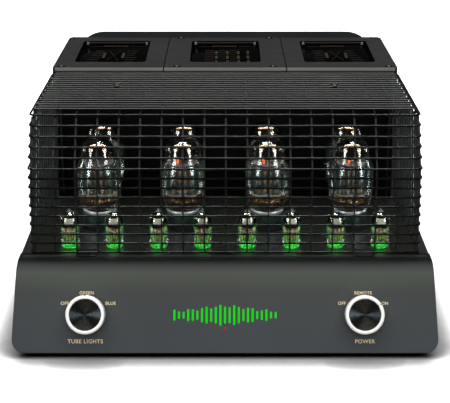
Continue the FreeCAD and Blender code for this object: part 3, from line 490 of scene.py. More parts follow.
def from_node(name, node, mat, body, bevel=0.5, seg=2, angle=30.0):
    # the node's own shape with its flat faces joined and its edges rounded
    src = frame["nodes"][node]
    me = src.data.copy()
    me.name = name
    bm = bmesh.new()
    bm.from_mesh(me)
    bmesh.ops.remove_doubles(bm, verts=bm.verts, dist=2e-6)
    bmesh.ops.dissolve_limit(bm, angle_limit=math.radians(0.8), verts=bm.verts, edges=bm.edges)
    bmesh.ops.recalc_face_normals(bm, faces=bm.faces)
    if bevel > 0:
        es = [e for e in bm.edges if len(e.link_faces) == 2 and e.calc_face_angle(0.0) > math.radians(38) and e.calc_length() > 0.0006]
        bmesh.ops.bevel(bm, geom=es, offset=bevel * 0.001, segments=seg, profile=0.5, affect="EDGES", clamp_overlap=True)
    bmesh.ops.triangulate(bm, faces=[f for f in bm.faces if len(f.verts) > 4])
    bm.to_mesh(me)
    bm.free()
    me.materials.clear()
    me.materials.append(mat)
    me.polygons.foreach_set("material_index", [0] * len(me.polygons))
    me.polygons.foreach_set("use_smooth", [True] * len(me.polygons))
    me.set_sharp_from_angle(angle=math.radians(angle))
    ob = bpy.data.objects.new(name, me)
    bpy.context.scene.collection.objects.link(ob)
    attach(ob, body)
    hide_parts(node)
    return ob


def dress(node, mat):
    o = frame["nodes"][node]
    o.data.materials.clear()
    o.data.materials.append(mat)


# frame of the fascia's face: z out of the face, y up along it
RF = Matrix.Rotation(math.radians(90 - LEAN), 3, "X")


def face_o(x, z):
    return (x, yy(plane_d(z)), z)


# ------------------------------------------------------------------ fascia
TOP_R = 18.8
FT = 4.0
d_int = plane_d(Z_DECK)
tl = TOP_R * math.tan(math.radians((90 - LEAN) / 2))
pa = (d_int - tl * S, Z_DECK - tl * C)
pb = (d_int + tl, Z_DECK)
cc = (pb[0], Z_DECK - TOP_R)
a0 = math.atan2(pa[1] - cc[1], pa[0] - cc[0])


def arc3(p, q, r, n):
    # circle through three points, n steps
    ax, ay = p; bx, by = q; cx, cy = r
    dd = 2 * (ax * (by - cy) + bx * (cy - ay) + cx * (ay - by))
    ux = ((ax * ax + ay * ay) * (by - cy) + (bx * bx + by * by) * (cy - ay) + (cx * cx + cy * cy) * (ay - by)) / dd
    uy = ((ax * ax + ay * ay) * (cx - bx) + (bx * bx + by * by) * (ax - cx) + (cx * cx + cy * cy) * (bx - ax)) / dd
    rad = math.hypot(ax - ux, ay - uy)
    t0 = math.atan2(ay - uy, ax - ux); t1 = math.atan2(by - uy, bx - ux); t2 = math.atan2(cy - uy, cx - ux)
    while t1 - t0 > math.pi: t1 -= 2 * math.pi
    while t1 - t0 < -math.pi: t1 += 2 * math.pi
    while t2 - t1 > math.pi: t2 -= 2 * math.pi
    while t2 - t1 < -math.pi: t2 += 2 * math.pi
    return [(ux + rad * math.cos(t0 + (t2 - t0) * i / n), uy + rad * math.sin(t0 + (t2 - t0) * i / n)) for i in range(n + 1)]


outer = arc3((-2.57, 6.0), (-3.236, 6.356), (plane_d(7.108), 7.108), 6)
z = 10.0
while z < pa[1] - 2:
    outer.append((plane_d(z), z))
    z += 6.0
outer.append(pa)
for i in range(1, 19):
    a = a0 + (math.pi / 2 - a0) * i / 18
    outer.append((cc[0] + TOP_R * math.cos(a), cc[1] + TOP_R * math.sin(a)))
outer += [(52.0, Z_DECK), (61.2, Z_DECK), (61.8, Z_DECK - 0.25), (62.0, Z_DECK - 0.9)]
ri = TOP_R - FT
inner = [(62.0, Z_DECK - FT), (pb[0], Z_DECK - FT)]
for i in range(1, 13):
    a = math.pi / 2 + (a0 - math.pi / 2) * i / 12
    inner.append((cc[0] + ri * math.cos(a), cc[1] + ri * math.sin(a)))
inner += [(plane_d(10.0) + FT / C, 10.0), (8.6, 10.0), (9.0, 9.6), (9.0, 6.4), (8.6, 6.0)]
HB, HD, CR = 222.55, 218.1, 15.0


def fascia_hw(z):
    t = (z - 6.0) / (Z_DECK - 6.0)
    h = 223.4 + (HD - 223.4) * t
    if z < 6.0 + CR:
        q = CR - (z - 6.0)
        h = h - CR + math.sqrt(max(CR * CR - q * q, 0.0))
    return h


loop = outer + inner
# denser rows near the lower corners so that their curve reads smooth
dense = []
for i, p in enumerate(loop):
    q = loop[(i + 1) % len(loop)]
    dense.append(p)
    steps = int(abs(q[1] - p[1]) / 1.2) if (min(p[1], q[1]) < 21.0) else 0
    for k in range(1, steps):
        dense.append((p[0] + (q[0] - p[0]) * k / steps, p[1] + (q[1] - p[1]) * k / steps))
loop = dense
nl = len(loop)
cen = (30.0, 60.0)
mb = MB()
cols = [(-1, 0.0, 1.0)]
verts = []
NX = 12
# columns: rounded rim at each end, then the flat middle
rim = [(0.0, 0.55), (0.12, 0.22), (0.4, 0.05), (0.9, 0.0)]


def off(i, t):
    # point of the loop moved inwards by t
    p, a, b = loop[i], loop[i - 1], loop[(i + 1) % nl]
    tx, ty = b[0] - a[0], b[1] - a[1]
    ln = math.hypot(tx, ty) or 1.0
    return (p[0] + t * ty / ln, p[1] - t * tx / ln)


colspec = [(-1, dx, t) for dx, t in rim] + [(0, -0.86 + 1.72 * k / NX, 0) for k in range(NX + 1)] + [(1, dx, t) for dx, t in reversed(rim)]
for sgn, dx, t in colspec:
    for i in range(nl):
        p = off(i, t) if sgn else loop[i]
        h = fascia_hw(loop[i][1])
        x = sgn * (h - dx) if sgn else dx * h
        verts.append((x, yy(p[0]), p[1]))
faces = []
nc = len(colspec)
for c in range(nc - 1):
    for i in range(nl):
        j = (i + 1) % nl
        faces.append((c * nl + i, c * nl + j, (c + 1) * nl + j, (c + 1) * nl + i))
faces.append(tuple(range(nl)))
faces.append(tuple(reversed([(nc - 1) * nl + i for i in range(nl)])))
mb.add(verts, faces)
fascia = piece("fascia_panel", mb, M["fascia"], "chassis", ["front_fascia"], angle=40.0)

# lit bars, standby lamp, board behind
mb = MB()
for i in range(23):
    u = (i - 11) / 11.0
    h = 8.0 + 11.0 * math.exp(-3.0 * u * u) + 3.0 * math.cos(i * 1.9)
    mb.prism(rrect(-1.0, 1.0, -h / 2, h / 2, 0.95, 5), -3.6, 0.12, RF, 0, face_o((i - 11) * 4.8, 43.0))
piece("light_bars", mb, M["logo_green"], "chassis", ["fascia_light_bars"], bevel=0.08, seg=1)
mb = MB()
mb.lathe([(0.0, -5.8), (1.55, -5.8), (1.55, 0.0), (1.4, 0.3), (0.9, 0.55), (0.0, 0.65)], RF, 24, 0, face_o(0, 29.7))
piece("red_lamp", mb, M["lamp_red"], "chassis", ["standby_lamp"])


# ------------------------------------------------------------------ lettering
def text(name, body_text, x, z, size, mat, spacing=1.0):
    cu = bpy.data.curves.new(name, "FONT")
    cu.body = body_text
    cu.align_x = "CENTER"
    cu.align_y = "CENTER"
    cu.size = size * 0.001
    cu.space_character = spacing
    cu.extrude = 0.00006
    cu.offset = 0.00006
    cu.materials.append(mat)
    ob = bpy.data.objects.new(name, cu)
    bpy.context.scene.collection.objects.link(ob)
    o = Vector(face_o(x, z)) + RF @ Vector((0, 0, 0.06))
    ob.matrix_world = Matrix.Translation(o * 0.001) @ RF.to_4x4()
    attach(ob, "chassis")
    return ob


for nm, tx, px, pz, sz in (("label_green", "GREEN", -144.5, 64.1, 4.62), ("label_off_left", "OFF", -167.2, 54.2, 4.75), ("label_blue", "BLUE", -119.5, 54.2, 4.62),
                           ("label_tube_lights", "TUBE LIGHTS", -145.6, 17.6, 5.86), ("label_remote", "REMOTE", 144.2, 64.1, 4.62),
                           ("label_off_right", "OFF", 122.0, 54.2, 4.6), ("label_on", "ON", 166.8, 54.2, 4.4), ("label_power", "POWER", 145.8, 17.6, 5.72)):
    text(nm, tx, px, pz, sz, M["gold_print"], 1.08)

# ------------------------------------------------------------------ knobs
for node, sx, ang in (("tube_light_knob", -1, 0.0), ("power_knob", 1, -KNOB_STEP)):
    o = face_o(sx * KNOB_X, KNOB_Z)
    pointer = math.radians(90 + ang)
    prof = [(3.2, 2.0), (KNOB_R - 1.6, 2.0), (KNOB_R - 1.2, 2.4), (KNOB_R - 1.2, 3.0), (KNOB_R - 0.3, 3.3), (KNOB_R, 3.9), (KNOB_R, 9.0), (KNOB_R, KNOB_L - 2.2)]
    prof += [(KNOB_R - 0.12, KNOB_L - 1.5), (KNOB_R - 0.5, KNOB_L - 0.8), (KNOB_R - 1.1, KNOB_L - 0.35), (KNOB_R - 1.9, KNOB_L - 0.08), (KNOB_R - 2.6, KNOB_L),
             (KNOB_R - 3.1, KNOB_L - 0.12), (KNOB_R - 3.55, KNOB_L - 0.5), (KNOB_R - 3.8, KNOB_L - 1.1), (KNOB_R - 3.85, KNOB_L - 2.4), (3.2, KNOB_L - 2.4)]

    def notch(r, z, a, k, pointer=pointer):
        d = (a - pointer + math.pi) % (2 * math.pi) - math.pi
        if abs(d) * KNOB_R < 0.85 and z > KNOB_L - 3.2 and r > KNOB_R - 3.0:
            return min(r, KNOB_R - 1.5), min(z, KNOB_L - 2.6)
        return r, z
    mb = MB().lathe(prof, RF, 240, 0, o, notch)
    piece(node + "_ring", mb, M["chrome"], node, [node], angle=50.0)
    zt = KNOB_L - 1.15
    rings = [(0.0, zt - 1.1)] + [(0.9 + 0.7 * k, zt - 1.05 + 0.75 * ((0.9 + 0.7 * k) / 15.9) ** 2) for k in range(21)] + [(15.6, zt - 0.28), (16.1, zt - 0.28), (16.36, zt - 0.6), (16.38, zt - 1.2), (0.0, zt - 1.3)]
    inv = RF.inverted()
    oc = Vector(o)

    def spin_uv(co, oc=oc, inv=inv):
        p = inv @ (Vector(co) * 1000 - oc)
        return (math.atan2(p.y, p.x) / (2 * math.pi) + 0.5, math.hypot(p.x, p.y) / 20.0)
    mb = MB().lathe(rings, RF, 96, 0, o)
    piece(node + "_disc", mb, M["spun"], node, angle=60.0, uv=spin_uv)

# ------------------------------------------------------------------ chassis sheet metal, from the frame, with softened edges
from_node("deck_plate", "top_deck", M["deck"], "chassis", 0.35)
from_node("side_sheets", "side_panels", M["chassis"], "chassis", 0.35)
from_node("under_cover", "bottom_cover", M["chassis"], "chassis", 0.3)
# the housing front takes the darker wall paint, painted shade
from_node("housing_front_sheet", "housing_front", M["wall"], "chassis", 0.5)
from_node("housing_side_sheets", "housing_sides", M["chassis"], "chassis", 0.35)
from_node("back_panel", "rear_panel", M["cover"], "chassis", 0.9, 3)
from_node("cage_arm_brackets", "cage_brackets", M["cage"], "chassis", 0.4)
from_node("cage_flat_tabs", "cage_tabs", M["cage"], "cage", 0.3)
from_node("cage_captive_screws", "cage_screws", M["screw_dark"], "cage", 0.3)
from_node("foot_pads", "feet", M["rubber"], "chassis", 0.6)
for node, mat in (("fascia_light_board", "board"), ("rotary_switches", "plastic"), ("transformer_cores", "core"), ("transformer_coils", "coil"),
                  ("transformer_mount_rails", "steel"), ("tube_socket_board", "board"), ("board_standoffs", "steel"), ("supply_and_input_boards", "board"),
                  ("filter_capacitors", "can"), ("output_valve_sockets", "plastic"), ("small_valve_sockets", "plastic"), ("valve_lamps", "lamp_green"),
                  ("valve_pins", "steel"), ("binding_post_studs", "gold"), ("binding_post_washers", "plastic"), ("mains_inlet", "plastic"), ("fuse_holder", "plastic"),
                  ("fuse_cap", "plastic"), ("control_jacks", "gold"), ("balanced_input_sockets", "black_metal"), ("balanced_latch_1", "plastic"), ("balanced_latch_2", "plastic"),
                  ("phono_input_sockets", "gold"), ("input_switch_body", "plastic"), ("input_switch_lever", "plastic"), ("cover_and_foot_screws", "black_metal")):
    dress(node, M[mat])
for i in range(1, 7):
    dress("binding_post_cap_%d" % i, M["plastic"])

mb = MB()
for sgn in (-1, 1):
    prof_ = [(sgn * 194.6, yy(247.2)), (sgn * 194.6, yy(245.4)), (sgn * 194.1, yy(244.8)), (sgn * 192.9, yy(244.7)), (sgn * 192.1, yy(245.2)), (sgn * 191.9, yy(247.2))]
    mb.prism(prof_ if sgn < 0 else prof_[::-1], 93.4, 240.6)
piece("housing_corner_beads", mb, M["cover"], "chassis", bevel=0.3, seg=2)

# thin dark sheet over the gap between the fascia's flange and the deck: painted shade
mb = MB()
mb.box(-215.0, 215.0, yy(43.0), yy(50.4), 93.0, 93.06)
piece("deck_seam", mb, M["chassis"], "chassis")
# thin sheet in the lighter deck paint along the deck's front edge: a painted highlight
mb = MB()
mb.box(-214.0, 214.0, yy(50.9), yy(55.6), 93.0, 93.09)
piece("deck_front_edge", mb, M["deck_edge"], "chassis")

# ------------------------------------------------------------------ cage of welded round wire
WR = 1.12
KD, KZ = 33.1, 195.5
TD, TZ = 46.8, 249.1
BD, BZ = 56.7, 95.4
Z_TOPW = 251.0
BACK = 219.4


def hw(z, d):
    return 207.5 - 0.0491 * (z - 96.4) - 0.012 * (d - 56.7)


def bend(p0, p1, p2, r, n=5):
    # points of the rounded corner at p1
    p0, p1, p2 = Vector(p0), Vector(p1), Vector(p2)
    a, b = (p0 - p1).normalized(), (p2 - p1).normalized()
    ang = a.angle(b)
    t = r / math.tan(ang / 2)
    t = min(t, (p0 - p1).length * 0.48, (p2 - p1).length * 0.48)
    q0, q1 = p1 + a * t, p1 + b * t
    out = []
    for i in range(n + 1):
        s = i / n
        out.append(q0 * (1 - s) ** 2 + p1 * 2 * s * (1 - s) + q1 * s * s)
    return out


def path(pts, r):
    out = [Vector(pts[0])]
    rr = r if isinstance(r, (list, tuple)) else [r] * len(pts)
    for i in range(1, len(pts) - 1):
        out += bend(pts[i - 1], pts[i], pts[i + 1], rr[i])
    out.append(Vector(pts[-1]))
    return out


rows = [(BD + (KD - BD) * i / 9.0, BZ + (KZ - BZ) * i / 9.0) for i in range(9)] + [(KD + (TD - KD) * j / 5.0, KZ + (TZ - KZ) * j / 5.0) for j in range(6)]
mb = MB()
for d, z in rows:
    pts = []
    for sgn in (-1, 1):
        h0, h1 = hw(z, d) - WR, hw(z, BACK) - WR
        seg = [(sgn * h1, yy(BACK), z), (sgn * h0, yy(d + WR), z)]
        pts += seg if sgn < 0 else seg[::-1]
    mb.sweep(path(pts, 5.5), WR, 10)
# uprights behind the rows, bent at the kink and over the top, then running back under the cross wires
OFFN = 2.0 * WR - 0.25
for k in range(-9, 10):
    pts = []
    for d, z in ((BD + 0.3, BZ - 1.8), (KD, KZ), (TD + 1.0, Z_TOPW - 2.1), (BACK - 2.0, Z_TOPW - 2.1)):
        pts.append((k * 0.1090 * (hw(z, d)) + 0.85, yy(d + WR + (OFFN if d < 150 else 0)), z if z < 240 else Z_TOPW - OFFN))
    n0 = len(mb.f)
    mb.sweep(path(pts, [0, 6.0, 9.0, 0]), 0.98, 10)
    # the front parts of these uprights take the lighter upright paint, a painted highlight
    for i in range(n0, len(mb.f)):
        c_ = [sum(mb.v[j][k_] for j in mb.f[i]) / len(mb.f[i]) for k_ in (1, 2)]
        if c_[0] < yy(TD + 3.0) and c_[1] < 249.0:
            mb.mi[i] = 1
# cross wires of the top, bent down at the sides; every second one runs on down as a side upright
NT = 18
for i in range(NT):
    d = 65.0 + 8.97 * i
    ht = hw(Z_TOPW, d) - WR - OFFN
    low = 94.6 if i % 2 == 1 else TZ - 3.0
    hb_ = hw(low, d) - WR - OFFN
    pts = [(-hb_, yy(d), low), (-ht, yy(d), Z_TOPW), (ht, yy(d), Z_TOPW), (hb_, yy(d), low)]
    n0 = len(mb.f)
    mb.sweep(path(pts, 3.4), 0.75, 12)
    # upper faces of the cross wires take the lighter paint, a painted highlight on their lit top; the lower faces keep
    # the dark cage paint
    for j in range(n0, len(mb.f)):
        c_ = [sum(mb.v[k][a_] for k in mb.f[j]) / len(mb.f[j]) for a_ in range(3)]
        if c_[2] > Z_TOPW + 0.32 and abs(c_[0]) < ht - 1.0:
            mb.mi[j] = 2
# the uprights of the sides and back corners below take the lighter upright paint, a painted highlight
for sgn in (-1, 1):
    for in_ in (1.9, 3.8):
        hs = [(sgn * (hw(z, BACK) - WR - OFFN - in_), yy(BACK - 0.3), z) for z in (94.6, 150.0, 200.0, TZ - 4.0)]
        mb.sweep(hs, WR, 10, 1)
    for d, za, zb in ((60.5, 97.0, 246.5), (52.0, 121.0, 246.0), (44.0, 154.0, 238.0)):
        # uprights close behind the leaning front edge
        mb.sweep([(sgn * (hw(z, d) - WR - OFFN), yy(d), z) for z in (za, (za + zb) / 2, zb)], WR, 10, 1)
    for i in range(9):
        # the uprights of the sides are a little stouter than the rows
        d = 65.0 + 8.97 * (2 * i + 1)
        mb.sweep([(sgn * (hw(z, d) - WR - OFFN), yy(d), z) for z in (94.7, 150.0, 200.0, TZ - 6.0)], WR + 0.17, 10, 1)
piece("cage_wires", mb, [M["cage"], M["cage_upright"], M["cage_rubbed"]], "cage", ["cage_front_lower", "cage_front_upper", "cage_top", "cage_sides"], angle=60.0)

# ------------------------------------------------------------------ output valves
for q in range(8):
    x = BIG_X[q % 4]
    y = yy(BIG_D if q < 4 else REAR_D)
    o = (x, y, 0)
    nm = "output_valve_%d_" % (q + 1)
    mb = MB()
    mb.lathe([(0.0, 94.35), (17.2, 94.35), (18.1, 94.8), (18.4, 95.8), (18.4, 112.3), (17.0, 112.4), (0.0, 112.4)], None, 96, 0, o)
    mb.lathe([(17.0, 112.45), (18.4, 112.45), (18.6, 113.2), (18.9, 113.9), (18.95, 114.7), (18.7, 115.5), (18.2, 116.1), (17.6, 116.3), (17.15, 116.0), (17.0, 115.2)], None, 96, 1, o)
    piece(nm + "collar", mb, [M["collar"], M["ring"]], "chassis", ["output_valve_bases"] if q == 0 else (), angle=60.0)
    prof = [(0.0, 113.0), (12.0, 113.0), (15.2, 113.2), (16.2, 113.9), (16.6, 115.2), (17.0, 116.8), (18.2, 118.6), (20.0, 120.8), (21.8, 123.4), (23.4, 127.0), (24.4, 131.4), (24.7, 136.0), (24.8, 142.0),
            (24.8, 156.0), (24.7, 160.0), (24.35, 163.4), (23.5, 166.6), (22.1, 169.4), (20.7, 171.8), (19.8, 174.2), (19.3, 177.0), (18.95, 180.5), (18.6, 183.6), (18.0, 186.6), (17.0, 189.2),
            (15.4, 191.7), (13.2, 193.6), (10.4, 195.0), (7.0, 195.95), (3.4, 196.4), (0.0, 196.5)]
    wall = [(max(r - 1.0, 0.0), z + (1.0 if z < 118 else (0 if z < 189 else -1.0))) for r, z in reversed(prof)]
    mb = MB()
    mb.lathe(prof, None, 80, 0, o)
    mb.lathe(wall, None, 80, 0, o)
    piece(nm + "envelope", mb, M["glass"], "chassis", ["output_valve_glass"] if q == 0 else (), angle=70.0)

    def film(zlo, zhi, wob, off=1.35, thick=0.35, ph=0.0):
        # skin that follows the inside of the envelope between two heights
        body = []
        for (r0, z0), (r1, z1) in zip(prof, prof[1:]):
            for t in (0.0, 0.5):
                rr_, zz_ = r0 + (r1 - r0) * t, z0 + (z1 - z0) * t
                if zlo <= zz_ <= zhi:
                    body.append((rr_, zz_))
        out = []
        for i, (r, z) in enumerate(body):
            a_, b_ = body[max(i - 1, 0)], body[min(i + 1, len(body) - 1)]
            tx, tz = b_[0] - a_[0], b_[1] - a_[1]
            ln = math.hypot(tx, tz) or 1.0
            out.append((r, z, tz / ln, -tx / ln))
        up = [(max(r - off * nx_, 0.0), z - off * nz_) for r, z, nx_, nz_ in out]
        dn = [(max(r - (off + thick) * nx_, 0.0), z - (off + thick) * nz_) for r, z, nx_, nz_ in reversed(out)]
        last = len(up) + len(dn) - 1

        def f(r, z, a, k, last=last):
            if k in (0, last) and zlo > 115:
                return r, z + wob * (math.sin(3 * a + q + ph) + 0.5 * math.sin(7 * a + 2 * q))
            if k in (len(up) - 1, len(up)) and zhi < 150:
                return r, z + wob * (math.sin(4 * a + q + ph) + 0.4 * math.sin(9 * a))
            return r, z
        return MB().lathe(up + dn, None, 80, 0, o, f)

    piece(nm + "flash_top", film(177.0, 197.0, 0.7), M["film"], "chassis", ["output_valve_supports"] if q == 0 else (), angle=80.0)
    piece(nm + "flash_low", film(114.0, 127.5, 0.8), M["rust"], "chassis", angle=80.0)
    # anode: two curved half shells with a centre seam, wings and punched ribs
    mb = MB()
    n = 120
    ribs = []
    for i in range(n):
        a = 2 * math.pi * i / n
        cxx, syy = math.cos(a), math.sin(a)
        e = 0.5
        px = 15.2 * math.copysign(abs(cxx) ** e, cxx)
        py = 9.2 * math.copysign(abs(syy) ** e, syy)
        dip = math.exp(-(px / 2.2) ** 2) * 3.6
        py -= math.copysign(dip, syy)
        ribs.append((px, py))
    inn = [(px * 0.94, py * 0.92) for px, py in ribs]
    levels = [133.6, 134.4, 141.0, 141.6, 142.4, 143.0, 150.4, 151.0, 151.8, 152.4, 159.8, 160.4, 161.2, 161.8, 167.6, 168.4]
    groove = {141.6, 142.4, 151.0, 151.8, 160.4, 161.2}
    vs = []
    for zz in levels:
        g = 0.965 if zz in groove else 1.0
        vs += [(x + a_ * g, y + b_ * g, zz) for a_, b_ in ribs]
    for zz in reversed(levels):
        vs += [(x + a_, y + b_, zz) for a_, b_ in inn]
    fs = []
    L = 2 * len(levels)
    for r_i in range(L):
        r2 = (r_i + 1) % L
        for i in range(n):
            j = (i + 1) % n
            fs.append((r_i * n + i, r_i * n + j, r2 * n + j, r2 * n + i))
    mb.add(vs, fs)
    for sgn in (-1, 1):
        mb.prism(rrect(x + sgn * 17.0 - 1.7, x + sgn * 17.0 + 1.7, y - 0.45, y + 0.45, 0.3, 2), 135.0, 167.0)
        for zz in (138.0, 147.0, 156.0, 164.5):
            mb.lathe([(0.0, 0.0), (1.0, 0.0), (1.0, 0.9), (0.6, 1.3), (0.0, 1.4)], Matrix.Rotation(math.radians(90), 3, "X"), 14, 0, (x + sgn * 17.0, y - 0.4, zz))
    piece(nm + "anode", mb, M["anode"], "chassis", ["output_valve_anodes"] if q == 0 else ())
    # copper coloured grid legs and straps seen in the seam between the half shells and under them
    mb = MB()
    for k_ in range(3):
        zz = 137.5 + 10.0 * k_
        for sgn in (-1, 1):
            mb.prism(rrect(x + sgn * 3.1 - 1.9, x + sgn * 3.1 + 1.9, y - 9.0, y - 8.3, 0.25, 2), zz, zz + 2.6 + 0.6 * math.sin(q + k_))
            mb.prism(rrect(x + sgn * 8.6 - 0.8, x + sgn * 8.6 + 0.8, y - 10.1, y - 9.4, 0.25, 2), zz - 2.0, zz + 1.4)
    for k_ in range(9):
        a = math.radians(200 + 17.5 * k_)
        mb.sweep([(x + 15.5 * math.cos(a), y + 15.5 * math.sin(a), 117.5), (x + (16.0 + math.sin(k_ * 2.0)) * math.cos(a), y + 16.0 * math.sin(a), 122.0 + 1.5 * math.sin(k_ * 1.7 + q)),
                  (x + 13.0 * math.cos(a), y + 13.0 * math.sin(a), 129.0)], 0.5, 8)
    mb.sweep([(x - 1.1, y - 5.2, 134.0), (x - 1.1, y - 5.2, 168.0)], 0.55, 8)
    mb.sweep([(x + 1.1, y - 5.2, 134.0), (x + 1.1, y - 5.2, 168.0)], 0.55, 8)
    piece(nm + "copper", mb, M["dots"], "chassis")
    # micas with toothed edges
    mb = MB()
    for zz, r0, t in ((132.5, 17.4, 0.5), (168.7, 15.6, 0.7), (185.2, 13.0, 0.6)):
        mb.prism([(x + (r0 + (1.2 if (i % 4) < 2 else 0.0)) * math.cos(2 * math.pi * i / 64), y + (r0 + (1.2 if (i % 4) < 2 else 0.0)) * math.sin(2 * math.pi * i / 64)) for i in range(64)], zz, zz + t)
    for k_ in range(26):
        a = math.radians(360.0 * k_ / 26 + 9 * q)
        hh = 1.2 + 0.9 * math.sin(k_ * 2.3 + q)
        mb.lathe([(0.0, 169.4), (0.85, 169.4), (0.8, 169.4 + hh), (0.0, 169.7 + hh)], None, 8, 0, (x + 14.4 * math.cos(a), y + 13.6 * math.sin(a), 0))
    piece(nm + "micas", mb, M["mica"], "chassis")
    # rods, getter ring, stem
    mb = MB()
    for a in (25, 90, 155, 205, 270, 335):
        rx, ry = 13.0 * math.cos(math.radians(a)), 8.0 * math.sin(math.radians(a))
        mb.sweep([(x + rx * 0.75, y + ry * 0.75, 115.6), (x + rx * 0.85, y + ry * 0.9, 121.0), (x + rx, y + ry, 132.4)], 0.55, 8)
        mb.sweep([(x + rx * 0.8, y + ry, 169.5), (x + rx * 0.7, y + ry, 176.5), (x + rx * 0.7, y + ry, 185.2)], 0.45, 8)
    mb.sweep([(x + 8.0 * math.cos(t), y + 8.0 * math.sin(t), 190.2) for t in [2 * math.pi * i / 28 for i in range(28)]], 0.8, 8, 0, True)
    mb.sweep([(x + 8.0, y, 185.8), (x + 8.0, y, 190.0)], 0.5, 8)
    mb.sweep([(x - 8.0, y, 185.8), (x - 8.0, y, 190.0)], 0.5, 8)
    mb.lathe([(0.0, 114.4), (9.5, 114.4), (9.5, 115.6), (7.5, 118.5), (6.5, 121.5), (0.0, 122.2)], None, 32, 0, o)
    for k_ in range(5):
        a = math.radians(215 + 27 * k_)
        mb.lathe([(0.0, 0.0), (0.8, 0.1), (1.0, 0.8), (0.7, 1.5), (0.0, 1.7)], None, 12, 0, (x + 13.8 * math.cos(a), y + 13.8 * math.sin(a), 124.5 + 1.8 * math.sin(k_ * 1.9 + q)))
    piece(nm + "rods", mb, M["steel"], "chassis")
    mb = MB()
    hx_ = (1.6, -5.0, -4.2, -3.7)[q % 4]
    if q not in (0, 4, 5, 6, 7):
        mb.lathe([(0.0, 169.6), (1.25, 169.6), (1.3, 171.8), (1.1, 173.6), (0.7, 174.6), (0.0, 174.9)], None, 20, 0, (x + hx_, y - 7.0, 0))
    for dx_, zz in ((-1.2, 125.2), (2.0, 123.2), (4.6, 126.0), (-4.4, 122.6)):
        mb.lathe([(0.0, 0.0), (0.55, 0.1), (0.6, 0.8), (0.0, 1.1)], None, 10, 0, (x + dx_, y - 15.5, zz))
    piece(nm + "heater", mb, M["heater"], "chassis")

